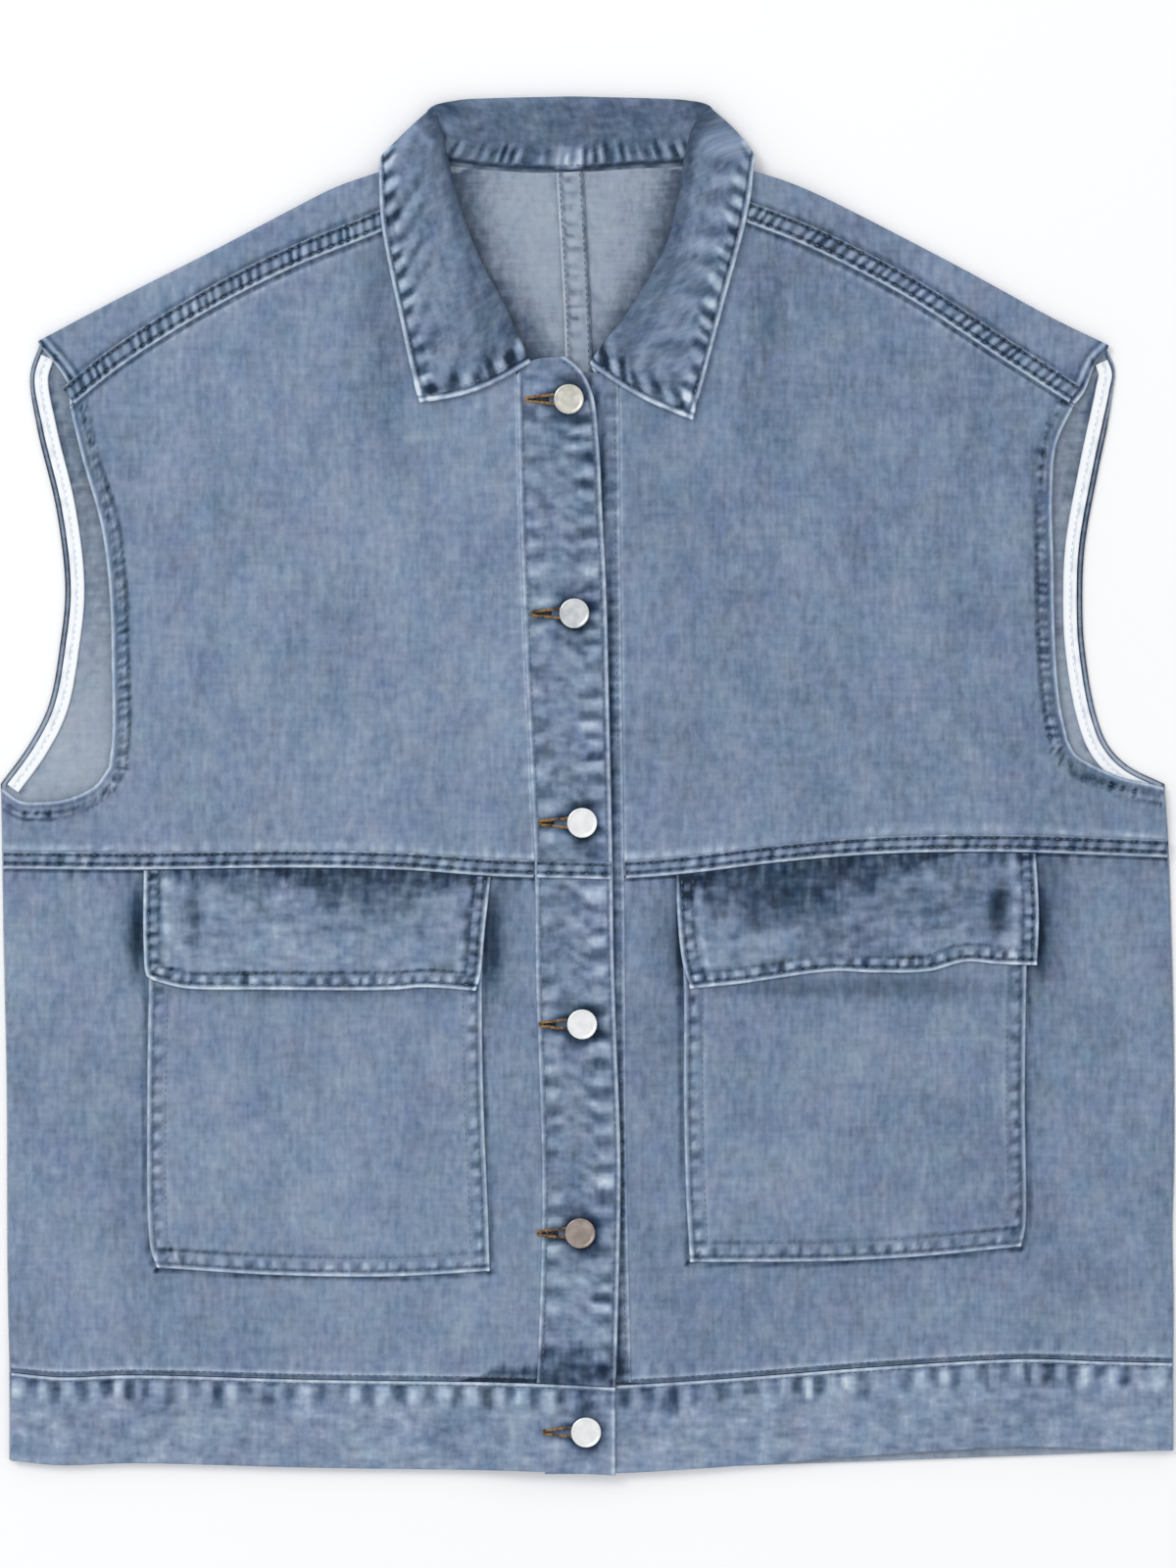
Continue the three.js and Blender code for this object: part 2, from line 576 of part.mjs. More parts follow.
/** Outline of a keyhole buttonhole: an eyelet round the post and a slit towards -X. */
function keyhole() {
  const half = SLOT_WIDTH / 2;
  const open = Math.asin(half / EYELET_RADIUS);
  const outline = new THREE.Shape();
  outline.absarc(0, 0, EYELET_RADIUS, Math.PI + open, 3 * Math.PI - open, false);
  outline.lineTo(-SLOT_LENGTH, half);
  outline.lineTo(-SLOT_LENGTH, -half);
  outline.closePath();
  return outline;
}

/** Outline of the hole that a button's post is driven through. */
function postHole() {
  const outline = new THREE.Shape();
  outline.absarc(0, 0, POST_RADIUS + SEAM_GAP, 0, 2 * Math.PI, false);
  return outline;
}

{
  const onPlacket = BUTTONS.slice(0, -1);
  const onHem = BUTTONS.slice(-1);
  const band = (seam, floor) => wall([hemBand(seam, floor)], TWO_PLY / 2, TWO_PLY / 2);
  const cloth = (net) => wall([net], TWO_PLY / 2, TWO_PLY / 2);
  add('placket_right', pierce(cloth(overPlacket()), keyhole(), onPlacket), DENIM);
  add('placket_left', pierce(cloth(underPlacket()), postHole(), onPlacket), DENIM);
  add('hem_band_right', pierce(band(along(OUTLINE.right.hemSeam, HEM_COLUMNS), rightFloor), keyhole(), onHem), DENIM);
  add('hem_band_left', pierce(band(along(OUTLINE.left.hemSeam, HEM_COLUMNS), frontFloor), postHole(), onHem), DENIM);
  const [hemRight, hemCentre, hemLeft] = ['right', 'centre', 'left'].map((place) =>
    new THREE.Vector3(BACK_HEM[place].x, BACK_HEM[place].y, 0));
  const backSeam = chain(straight(hemRight, hemCentre, HEM_COLUMNS / 3), straight(hemCentre, hemLeft, HEM_COLUMNS / 3));
  add('hem_band_back', band(backSeam, backFloor), DENIM_INSIDE);
  const waist = along(stretch(OUTLINE.right.chestSeam, 'x', PLACKET_FELL.from, PLACKET_FELL.to), PLACKET_COLUMNS);
  const floor = (x, y) => rightFloor(x, y) + TWO_PLY + SEAM_GAP;
  addCloth('waist_fell_placket', [strip(waist, -FELL_OVERHANG, FELL_WIDTH - FELL_OVERHANG, floor, PLY)], PLY);
}

// Pockets and their flaps, sewn on the lower fronts
const POCKETS = {
  right: {
    flapOuter: table(XY, [[-226.7, -43.5], [-226.7, -81.5], [-225.2, -97], [-222, -99]]),
    flapBottom: table(XY, [[-222, -99], [-216.5, -100.8], [-205.5, -103.3], [-162, -104], [-99.5, -104],
      [-84, -102.8], [-57.2, -104.5]]),
    flapInner: table(XY, [[-49.5, -46.8], [-52.5, -73.5], [-55, -98], [-57.2, -104.5]]),
    outer: table(XY, [[-224.2, -57], [-224.2, -104], [-225, -159.5], [-223.5, -235], [-220, -245.8]]),
    bottom: table(XY, [[-220, -245.8], [-162, -249.5], [-99.5, -250.3], [-50, -247.5]]),
    inner: table(XY, [[-53.5, -60], [-54, -106.5], [-53.3, -159.5], [-51, -214.5], [-50, -247.5]]),
  },
  left: {
    flapOuter: table(XY, [[228.5, -36.5], [230, -66], [229.4, -85], [229, -91.5]]),
    flapBottom: table(XY, [[229, -91.5], [209.5, -91], [192.5, -89.8], [173.8, -94.6], [147, -95.3], [123.8, -94.7],
      [77, -101], [52, -103.5]]),
    flapInner: table(XY, [[45, -46.7], [45.5, -66], [48, -89.5], [52, -103.5]]),
    outer: table(XY, [[225, -49], [223.8, -94], [223, -159.5], [223.2, -225], [221, -235]]),
    bottom: table(XY, [[221, -235], [170.5, -240], [123.8, -242.5], [52, -243]]),
    inner: table(XY, [[47.5, -60], [48.8, -104], [48.8, -159.5], [50, -210], [52, -243]]),
  },
};

const FLAP_COLUMNS = 10;
const FLAP_ROWS = 5;
const POCKET_ROWS = 8;

for (const side of SIDES) {
  const rows = POCKETS[side];
  const seam = stretch(OUTLINE[side].chestSeam, 'x', rows.flapOuter[0].x, rows.flapInner[0].x);
  const seamAt = (x) => seam.reduce((best, p) => (Math.abs(p.x - x) < Math.abs(best.x - x) ? p : best)).y;
  const flapTop = along(seam, FLAP_COLUMNS, 0, -FELL_OVERHANG - SEAM_GAP);
  const flapSides = [rows.flapOuter, rows.flapInner].map((border) => along(border, FLAP_ROWS).reverse());
  flapSides[0][FLAP_ROWS] = flapTop[0];
  flapSides[1][FLAP_ROWS] = flapTop[FLAP_COLUMNS];
  const flapFloor = (x, y) => onFront(side)(x, y) + (PLY + SEAM_GAP + FLAP_EASE) * ramp(seamAt(x) - y, 2, POCKET_TUCK - 2);
  const flap = fill(along(rows.flapBottom, FLAP_COLUMNS), flapTop, flapSides[0], flapSides[1]);
  addCloth(`flap_${side}`, [facing(side, lay(flap, flapFloor, PLY))], PLY);
  const sides = [rows.outer, rows.inner].map((border) => along(border, POCKET_ROWS).reverse());
  const pocketTop = straight(sides[0][POCKET_ROWS], sides[1][POCKET_ROWS], POCKET_ROWS);
  const pocket = fill(along(rows.bottom, POCKET_ROWS), pocketTop, sides[0], sides[1]);
  addCloth(`pocket_${side}`, [facing(side, lay(pocket, onFront(side), PLY))], PLY);
}

// Collar: two plies sewn together, flattened like the neck. Each row is a section across it, from the
// front corner to the middle of the back: where it is sewn to the neck, where it rolls over, where its
// outer edge lies, which way it rolls (90 over the front, 0 round the shoulder, -90 under the back)
// and how far its outer part bows.
const SECTION = ['neckX', 'neckY', 'rollX', 'rollY', 'edgeX', 'edgeY', 'turn', 'bow'];
const CENTRE_SECTION = [-9.5, 314.2, -8, 351, -9, 301, -90, 0];
const COLLAR = {
  right: table(SECTION, [
    [-35.5, 214, -30, 219.5, -86, 195.5, 90, 5],
    [-41.3, 223.3, -35.5, 231.5, -88.5, 204, 90, 2.5],
    [-57.3, 236.8, -45, 248, -92, 219, 90, 0],
    [-71.3, 253.6, -55.5, 267.5, -96, 238, 90, 0],
    [-81.2, 272.4, -65, 291.5, -101.5, 264, 90, 0],
    [-87, 291.2, -70.5, 312, -105.5, 287, 80, 0],
    [-87.3, 307, -74.5, 331, -106.5, 306, 76, 0],
    [-83.9, 321.5, -79, 344.5, -106, 319.5, 0, -0.5],
    [-78, 319.9, -66, 349, -101, 313, -60, 0],
    [-66, 318.4, -51, 350, -74, 304, -85, 0],
    [-45.5, 315.8, -34, 350.5, -45, 302, -90, 0],
    CENTRE_SECTION,
  ]),
  left: table(SECTION, [
    [3, 212, 1.5, 218, 53.5, 186.5, 90, 2.5],
    [15, 213.4, 10, 228, 56.5, 197, 90, 1],
    [29.4, 225.8, 22, 242.5, 61, 214, 90, 0],
    [43.4, 243.6, 33.5, 262, 66.5, 235, 90, 0],
    [55.3, 262.6, 42, 279, 72.5, 257, 90, 0],
    [64, 280.2, 46.5, 299, 79, 281, 90, 0],
    [69, 293, 50, 320, 83, 300, 70, 0],
    [69.2, 307, 54, 335, 84, 309, 76, 0],
    [65.6, 321.5, 60.5, 345.5, 84.5, 321, 0, -1.5],
    [59.5, 320.2, 50, 349, 80, 315, -60, 0],
    [46, 318.4, 33, 350, 54, 304, -85, 0],
    [24, 317, 14, 350.5, 24, 302, -90, 0],
    CENTRE_SECTION,
  ]),
};
const SECTIONS_PER_ROW = 2;
const STAND_STEPS = 2;
const ROLL_STEPS = 5;
const FALL_STEPS = 5;
const COLLAR_GAP = 2.4;
const LEAF_RISE = 0.7;
const MAX_ROLL = 2.2;
const MIN_ROLL = 1.3;

/** Smoothly blended rows of a section table. */
function blendRows(rows, perRow) {
  const keys = Object.keys(rows[0]);
  const total = (rows.length - 1) * perRow;
  return Array.from({ length: total + 1 }, (_, i) => {
    const at = Math.min(Math.floor(i / perRow), rows.length - 2);
    const t = i / perRow - at;
    const pick = (k) => rows[clamp(k, 0, rows.length - 1)];
    return Object.fromEntries(keys.map((key) => {
      const [a, b, c, d] = [-1, 0, 1, 2].map((k) => pick(at + k)[key]);
      const blended = b + 0.5 * t * (c - a + t * (2 * a - 5 * b + 4 * c - d + t * (3 * (b - c) + d - a)));
      return [key, clamp(blended, key === 'turn' ? -90 : -1e3, key === 'turn' ? 90 : 1e3)];
    }));
  });
}

/** One section across the collar, from the neck seam over the roll to the outer edge. */
function collarSection(row, side) {
  const floor = FLOOR[side];
  const half = TWO_PLY / 2;
  const neck = new THREE.Vector3(row.neckX, row.neckY, 0);
  const roll = new THREE.Vector3(row.rollX, row.rollY, 0);
  const edge = new THREE.Vector3(row.edgeX, row.edgeY, 0);
  const turn = THREE.MathUtils.degToRad(row.turn);
  const front = (1 + Math.sin(turn)) / 2;
  const up = roll.clone().sub(neck).normalize();
  const outward = new THREE.Vector3(-up.y, up.x, 0).multiplyScalar(side === 'right' ? 1 : -1);
  const over = outward.multiplyScalar(Math.cos(turn)).add(new THREE.Vector3(0, 0, Math.sin(turn)));
  const radius = clamp(roll.distanceTo(neck) / 8, MIN_ROLL, MAX_ROLL);
  const standFront = floor(row.neckX, row.neckY) + half;
  const standBack = NECK_LIFT + PLY / 2;
  neck.z = THREE.MathUtils.lerp(standBack, standFront, front);
  const centre = roll.clone().addScaledVector(up, -radius);
  const rollFloor = floor(row.rollX, row.rollY) + half;
  centre.z = THREE.MathUtils.lerp(half, rollFloor, front) + radius;
  const round = Array.from({ length: ROLL_STEPS + 1 }, (_, k) => {
    const angle = -Math.PI / 2 + (Math.PI * k) / ROLL_STEPS;
    return centre.clone().addScaledVector(up, radius * Math.cos(angle)).addScaledVector(over, radius * Math.sin(angle));
  });
  const stand = straight(neck, round[0], STAND_STEPS);
  const top = round[ROLL_STEPS];
  const way = edge.clone().sub(top).setZ(0).normalize();
  const bowWay = new THREE.Vector3(-way.y, way.x, 0).multiplyScalar(side === 'right' ? row.bow : -row.bow);
  const leaf = (p) => floor(p.x, p.y) + COLLAR_GAP + half + LEAF_RISE * ramp(p.y, 255, 275);
  const rise = top.z - THREE.MathUtils.lerp(half, leaf(top), front);
  const fall = Array.from({ length: FALL_STEPS + 1 }, (_, k) => {
    const t = k / FALL_STEPS;
    const point = new THREE.Vector3().lerpVectors(top, edge, t).addScaledVector(bowWay, Math.sin(Math.PI * t));
    point.z = THREE.MathUtils.lerp(half, leaf(point), front) + rise * (1 - t) ** 2;
    return point;
  });
  return chain(stand, round, fall);
}

{
  const right = blendRows(COLLAR.right, SECTIONS_PER_ROW).map((row) => collarSection(row, 'right'));
  const left = blendRows(COLLAR.left, SECTIONS_PER_ROW).map((row) => collarSection(row, 'left'));
  const net = [...right, ...left.reverse().slice(1)];
  addCloth('collar', [net], TWO_PLY);
}

// Buttons: a dished cap with a raised rim on a post, and a tack head under the left placket
const CAP_HEIGHT = 1.9;
const CAP_CHAMFER = 0.5;
const RIM_WIDTH = 1.2;
const DISH = 0.35;
const BUTTON_CLEARANCE = 0.4;

/** Outline of half a button, turned round its axis, from its foot up. */
function buttonProfile(foot, seat) {
  const rows = table(['radius', 'height'], [
    [0, foot],
    [TACK_RADIUS, foot],
    [TACK_RADIUS, foot + TACK_HEIGHT],
    [POST_RADIUS, foot + TACK_HEIGHT],
    [POST_RADIUS, seat],
    [BUTTON_RADIUS - CAP_CHAMFER, seat],
    [BUTTON_RADIUS, seat + CAP_CHAMFER],
    [BUTTON_RADIUS, seat + CAP_HEIGHT - CAP_CHAMFER],
    [BUTTON_RADIUS - CAP_CHAMFER, seat + CAP_HEIGHT],
    [BUTTON_RADIUS - RIM_WIDTH, seat + CAP_HEIGHT - DISH],
    [0, seat + CAP_HEIGHT - DISH],
  ]);
  return rows.map((row) => new THREE.Vector2(row.radius, row.height));
}

BUTTONS.forEach(({ x, y }, i) => {
  const foot = frontFloor(x, y) - SEAM_GAP - TACK_HEIGHT;
  const seat = rightFloor(x, y) + TWO_PLY + BUTTON_CLEARANCE;
  const geometry = new THREE.LatheGeometry(buttonProfile(foot, seat), 2 * ROUND_SEGMENTS);
  geometry.rotateX(Math.PI / 2);
  geometry.translate(x, y, 0);
  const welded = mergeVertices(new THREE.BufferGeometry().setAttribute('position', geometry.attributes.position)
    .setIndex(geometry.index), 1e-4);
  add(`button_${i + 1}`, welded, NICKEL);
});

export default vest;
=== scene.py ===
"""A denim vest laid flat on its back, every pattern piece a thin shell of cloth.

Pattern lengths are millimetres: +X to the viewer's right, +Y towards the collar, +Z up from the
surface that the vest lies on. Meshes are in metres. "right" and "left" are the wearer's, so the
right front is the one at -X, and it laps over the left.
"""

import json
import logging
import math
from dataclasses import dataclass, field
from enum import Enum
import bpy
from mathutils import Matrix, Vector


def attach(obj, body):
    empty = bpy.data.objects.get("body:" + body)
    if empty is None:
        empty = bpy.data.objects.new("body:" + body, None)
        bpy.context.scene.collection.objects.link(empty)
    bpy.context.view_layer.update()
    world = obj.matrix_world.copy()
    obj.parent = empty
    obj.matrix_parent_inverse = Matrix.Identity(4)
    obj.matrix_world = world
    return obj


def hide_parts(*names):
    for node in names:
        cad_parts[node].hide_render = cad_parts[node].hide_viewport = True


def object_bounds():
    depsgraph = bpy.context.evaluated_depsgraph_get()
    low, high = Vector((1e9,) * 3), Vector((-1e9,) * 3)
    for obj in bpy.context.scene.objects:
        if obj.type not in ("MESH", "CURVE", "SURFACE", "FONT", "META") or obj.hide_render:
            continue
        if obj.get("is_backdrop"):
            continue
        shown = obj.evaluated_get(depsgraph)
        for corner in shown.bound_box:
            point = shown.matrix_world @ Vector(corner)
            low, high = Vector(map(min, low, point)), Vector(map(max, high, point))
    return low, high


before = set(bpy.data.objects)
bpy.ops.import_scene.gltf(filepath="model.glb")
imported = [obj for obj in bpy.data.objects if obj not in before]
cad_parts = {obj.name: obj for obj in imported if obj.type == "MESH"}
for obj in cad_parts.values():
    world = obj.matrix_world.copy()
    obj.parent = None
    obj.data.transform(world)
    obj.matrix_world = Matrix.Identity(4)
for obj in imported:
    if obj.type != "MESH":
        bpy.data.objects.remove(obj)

from types import MappingProxyType
from typing import Callable, Iterable, Mapping, Optional, Sequence

import bmesh
import bpy
import numpy as np
from mathutils import Matrix, Vector

LOG = logging.getLogger("vest")

Array = np.ndarray
Height = Callable[[Array, Array], Array]
Rows = Sequence[tuple[float, ...]]
Colour = tuple[float, float, float]
Stops = Sequence[tuple[float, Colour]]
Inputs = Mapping[str | int, object]

MM = 0.001
FAR = 1e6
PLY = 1.2
TWO_PLY = 2.0
TAPE_PLY = 1.0
SEAM_GAP = 0.3
HALF_GAP = SEAM_GAP / 2
SEAM_LAP = 0.25
FRONT_CLEARANCE = 3.0
CENTRE_RISE = 1.0
OVERLAP_RISE = 2.3
NECK_LIFT = 2.7
SIDE_DROP = 1.5
HEM_DROP = 0.6
FELL_WIDTH = 9.0
SHOULDER_FELL_WIDTH = 10.5
FELL_OVERHANG = 0.8
CENTRE_FELL_HALF = 7.0
TAPE_INSET = 3.0
TAPE_WIDTH = 7.0
TAPE_RUN = (0.008, 0.988)
HEM_WIDTH = 45.0
HEM_LEVEL = -304.5
NECK_LEVEL = 211.0
UNDERARM_LEVEL = 1.0
BLADE_LEVEL = 250.0
ARMHOLE_BEND_LEVEL = 181.0
UNDER_PLACKET_WIDTH = 36.0
POCKET_TUCK = 14.0
FLAP_EASE = 0.2

# Rows of stitches, as distances from the edge or seam that they run beside
POCKET_ROWS = (3.0, 9.6)
FLAP_ROWS = (2.8, 8.4)
ARMHOLE_ROWS = (5.5, 8.8)
FELL_ROW = 2.6
FELL_TOP_ROW = 1.6
PLACKET_ROW = 2.6
HEM_ROW = 2.2

# Shares of a net's border, or of an armhole's line, that its first part takes
FOLD_SHARE = 10 / 14
FOOT_SHARE = 3 / 13
NECK_SHARE = 7 / 11
HOLE_SHARE = 0.25

# Grid lines of a shell, from a free edge inwards, so that the edge rounds over
EDGE_LINES = (0.0, 0.25, 0.6, 1.1, 1.8, 2.8)


class Side(Enum):
    """Which half of the vest, as the wearer has it."""

    RIGHT = "right"
    LEFT = "left"

    @property
    def outward(self) -> int:
        """Returns: the sign of X from the middle towards this side."""
        return -1 if self is Side.RIGHT else 1


def ramp(value: Array, low: float, high: float) -> Array:
    """Returns: numbers eased from 0, which they leave at low, to 1, which they reach at high."""
    t = np.clip((np.asarray(value, float) - low) / (high - low), 0.0, 1.0)
    return t * t * (3.0 - 2.0 * t)


def spread(length: float, step: float, dense: tuple[bool, bool] = (True, True)) -> Array:
    """Spaces grid lines along a border, closer at its free ends.

    Args:
        length: the border's length in mm.
        step: the usual spacing in mm.
        dense: whether the lines crowd at the start and at the end.

    Returns:
        Shares of the length from 0 to 1.
    """
    start = np.array(EDGE_LINES if dense[0] else (0.0,))
    end = length - np.array(EDGE_LINES if dense[1] else (0.0,))[::-1]
    count = max(1, round((end[0] - start[-1]) / step))
    middle = np.linspace(start[-1], end[0], count + 1)
    return np.concatenate([start[:-1], middle, end[1:]]) / length


@dataclass(frozen=True)
class Line:
    """A smooth line in plan, held as closely spaced points in mm."""

    points: Array
    shares: Array

    @classmethod
    def of(cls, points: Array) -> "Line":
        """Makes a line of closely spaced places, shared out by their distance.

        Args:
            points: the places.

        Returns:
            The line.
        """
        lengths = np.linalg.norm(np.diff(points, axis=0), axis=1)
        total = np.concatenate([[0.0], np.cumsum(lengths)])
        return cls(np.asarray(points, float), total / total[-1])

    @classmethod
    def through(cls, rows: Rows, steps: int = 30) -> "Line":
        """Runs a centripetal curve through a few places.

        Args:
            rows: the places, as x and y.
            steps: points between two places.

        Returns:
            The line.
        """
        p = np.asarray(rows, float)
        p = np.vstack([2 * p[0] - p[1], p, 2 * p[-1] - p[-2]])
        t = np.linspace(0.0, 1.0, steps, endpoint=False)[:, None]
        runs = []
        for a, b, c, d in zip(p, p[1:], p[2:], p[3:]):
            ab, bc, cd = (math.sqrt(math.dist(*pair)) for pair in ((a, b), (b, c), (c, d)))
            leave = bc * ((b - a) / ab - (c - a) / (ab + bc)) + c - b
            reach = bc * ((d - c) / cd - (d - b) / (bc + cd)) + c - b
            bend = 3 * (c - b) - 2 * leave - reach
            runs.append(b + t * (leave + t * (bend + t * (2 * (b - c) + leave + reach))))
        return cls.of(np.vstack([*runs, p[-2][None]]))

    @classmethod
    def joined(cls, lines: Sequence["Line"], ends: Sequence[float]) -> "Line":
        """Joins lines end to start.

        Args:
            lines: the lines in order.
            ends: the share of the whole at which each one ends.

        Returns:
            One line.
        """
        starts = [0.0, *ends[:-1]]
        points = np.vstack([line.points for line in lines])
        shares = [a + line.shares * (b - a) for line, a, b in zip(lines, starts, ends)]
        return cls(points, np.concatenate(shares))

    @property
    def length(self) -> float:
        """Returns: the length in mm."""
        return float(np.linalg.norm(np.diff(self.points, axis=0), axis=1).sum())

    def at(self, shares: Array) -> Array:
        """Returns: places at shares of the length, one in each row."""
        columns = [np.interp(shares, self.shares, self.points[:, k]) for k in range(self.points.shape[1])]
        return np.stack(columns, axis=-1)

    def part(self, axis: int, start: float, end: float) -> "Line":
        """Cuts out the stretch between two values of a coordinate.

        Args:
            axis: 0 for x, 1 for y.
            start: value where the stretch starts.
            end: value where it ends.

        Returns:
            The stretch.
        """
        dense = self.at(np.linspace(0.0, 1.0, 3001))
        first, last = (int(np.abs(dense[:, axis] - value).argmin()) for value in (start, end))
        picked = dense[first:last + 1] if first < last else dense[last:first + 1][::-1]
        return Line.of(picked)

    def stretch(self, start: float, end: float, count: int) -> "Line":
        """Returns: the stretch between two shares of the length, through count places."""
        return Line.of(self.at(np.linspace(start, end, count)))

    def moved(self, dx: float = 0.0, dy: float = 0.0) -> "Line":
        """Returns: the line moved in plan by dx and dy."""
        return Line(self.points + [dx, dy], self.shares)

    def turned(self) -> "Line":
        """Returns: the line run the other way."""
        return Line(self.points[::-1], 1.0 - self.shares[::-1])

    def pinned(self, start: Optional[Array] = None, end: Optional[Array] = None) -> "Line":
        """Shifts a line a little so that its ends meet given places.

        Args:
            start: where it starts, if given.
            end: where it ends, if given.

        Returns:
            The shifted line.
        """
        points = self.points.copy()
        if start is not None:
            points += (start - self.points[0]) * (1.0 - self.shares)[:, None]
        if end is not None:
            points += (end - self.points[-1]) * self.shares[:, None]
        return Line(points, self.shares)

    def beside(self, distance: float) -> "Line":
        """Returns: the line moved sideways to its left by a distance."""
        run = np.gradient(self.points, axis=0)
        run /= np.linalg.norm(run, axis=1)[:, None] + 1e-9
        return Line.of(self.points + distance * np.stack([-run[:, 1], run[:, 0]], axis=-1))

    def locate(self, x: Array, y: Array, reach: float) -> tuple[Array, Array]:
        """Finds where places lie relative to the line.

        Args:
            x: places in mm.
            y: places in mm.
            reach: how far from the line it matters.

        Returns:
            Distances along the line and to its left, the latter FAR where out of reach or past an end.
        """
        along = np.zeros(x.shape)
        across = np.full(x.shape, FAR)
        low, high = self.points.min(axis=0) - reach, self.points.max(axis=0) + reach
        near = np.flatnonzero((x > low[0]) & (x < high[0]) & (y > low[1]) & (y < high[1]))
        if near.size == 0:
            return along, across
        length = self.length
        count = max(4, int(length))
        dense = self.at(np.linspace(0.0, 1.0, count + 1))
        run = np.gradient(dense, axis=0)
        run /= np.linalg.norm(run, axis=1)[:, None] + 1e-9
        for chunk in np.array_split(near, near.size * count // 3_000_000 + 1):
            gap = (x[chunk, None] - dense[None, :, 0]) ** 2 + (y[chunk, None] - dense[None, :, 1]) ** 2
            k = gap.argmin(axis=1)
            dx, dy = x[chunk] - dense[k, 0], y[chunk] - dense[k, 1]
            along[chunk] = k * length / count + dx * run[k, 0] + dy * run[k, 1]
            across[chunk] = run[k, 0] * dy - run[k, 1] * dx
        across[(along < -1.5) | (along > length + 1.5) | (np.abs(across) > reach)] = FAR
        return along, across


def straight(start: Array, end: Array) -> Line:
    """Returns: the straight line between two places."""
    return Line.of(np.array([start, end], float))


def rightward(line: Line) -> Line:
    """Returns: the line run towards +X."""
    return line if line.points[-1][0] > line.points[0][0] else line.turned()


def upward(line: Line) -> Line:
    """Returns: the line run towards +Y."""
    return line if line.points[-1][1] > line.points[0][1] else line.turned()


through = Line.through

# Outlines of the pattern as laid out, each a few places that a smooth line runs through
OUTLINE = {
    Side.RIGHT: {
        "back_side": [
            (-295.5, -299), (-296.5, -249), (-297, -149), (-298.5, -79), (-299.5, -19), (-300, 1)],
        "back_armhole": [
            (-300, 1), (-285.5, 21), (-275.5, 41), (-269.5, 73), (-267, 101), (-271.5, 141), (-281, 181),
            (-285.5, 209), (-281, 224)],
        "shoulder": [
            (-281, 227), (-237.5, 250), (-194, 272), (-151, 294.5), (-129, 305.5), (-107.5, 313), (-87, 320)],
        "back_neck": [(-87, 320), (-79, 319), (-66, 317.5), (-45.5, 315), (-25, 313.5), (-9.5, 313.5)],
        "shoulder_seam": [
            (-264.8, 193.5), (-237.5, 215.5), (-194, 243), (-151, 265), (-107.4, 282.6), (-88, 291)],
        "cap_edge": [(-281, 224), (-269.5, 210.5), (-265.2, 203), (-264.8, 193.5)],
        "cap_neck": [(-87, 320), (-90, 307), (-88, 291)],
        "front_side": [(-294.3, -299), (-295.3, -249), (-295.8, -149), (-297.3, -79), (-298.3, -41.5)],
        "underarm": [(-298.3, -41.5), (-298.8, -20), (-299, -1)],
        "armhole_foot": [
            (-299, -1), (-289.5, -7.5), (-279, -8), (-268.5, -7), (-258, -3.5), (-251, 1), (-244.8, 9.7)],
        "armhole": [
            (-244.8, 9.7), (-243, 25.5), (-243.2, 58), (-244.2, 95.5), (-248.3, 131), (-258.2, 167),
            (-264.8, 193.5)],
        "front_neck": [(-36.3, 210), (-42, 222.5), (-58, 236), (-72, 253), (-82, 272), (-88, 291)],
        "chest_seam": [(-298.3, -41.5), (-230, -42), (-150, -41), (-96, -42), (-50, -45.2), (12.8, -47)],
        "hem_seam": [
            (-294.3, -299.2), (-269.5, -301.5), (-233, -300.5), (-140, -302.8), (-30, -304.5), (14, -306.5)],
    },
    Side.LEFT: {
        "back_side": [
            (299, -294), (299.2, -262), (298.6, -229), (299.5, -189), (299.3, -129), (298, -74),
            (296.5, -29), (294.5, 1)],
        "back_armhole": [
            (294.5, 1), (275.5, 10.5), (265.5, 21), (259, 38), (253.5, 71), (252.5, 91), (253.5, 121),
            (260.5, 161), (269, 201), (270.5, 211), (267, 221.5)],
        "shoulder": [
            (266, 225), (239, 238), (189.5, 265), (133.5, 294), (112.5, 304), (97, 310), (84, 314),
            (69, 320.5)],
        "back_neck": [(69, 320.5), (61, 319.3), (46, 317.5), (24, 316), (-1, 313.8), (-9.5, 313.5)],
        "shoulder_seam": [
            (248.5, 194.5), (214.3, 216.5), (164.5, 249), (133.5, 265.7), (108.5, 277.5), (82.5, 287.5),
            (70, 292)],
        "cap_edge": [(267, 221.5), (261, 215.5), (253.7, 200.5), (248.5, 194.5)],
        "cap_neck": [(69, 320.5), (72, 307), (70, 292)],
        "front_side": [
            (297.8, -294), (298, -262), (297.4, -229), (298.3, -189), (298.1, -129), (296.8, -74),
            (295.8, -35.8)],
        "underarm": [(295.8, -35.8), (295, -18), (293.8, -0.5)],
        "armhole_foot": [
            (293.8, -0.5), (282.5, 2.2), (273.8, 4), (260.8, 9.3), (254.3, 12.7), (248.9, 16.5), (245, 23.5)],
        "armhole": [
            (245, 23.5), (240.9, 43), (238.3, 78), (237.7, 112), (237, 148.5), (239.4, 175), (248.5, 194.5)],
        "front_neck": [(15.6, 212), (30, 225), (44, 243), (56, 262), (66, 279), (70, 292)],
        "chest_seam": [
            (295.8, -35.8), (209.5, -33), (145.5, -34.2), (98, -38.2), (50, -44), (17.5, -46.5), (-19, -47)],
        "hem_seam": [
            (298.2, -294.2), (262.5, -293.4), (226.8, -292.2), (201, -293), (140, -296.8), (100, -300),
            (60, -303), (16, -305.5), (-22, -306)],
    },
}
BACK_HEM = {"right": (-295.5, -299), "centre": (-2, -305), "left": (299, -294)}
CENTRE_BACK = through([(-2, -305), (-2, -100), (-3, 1), (-5, 224), (-7, 270), (-9.5, 313.5)])
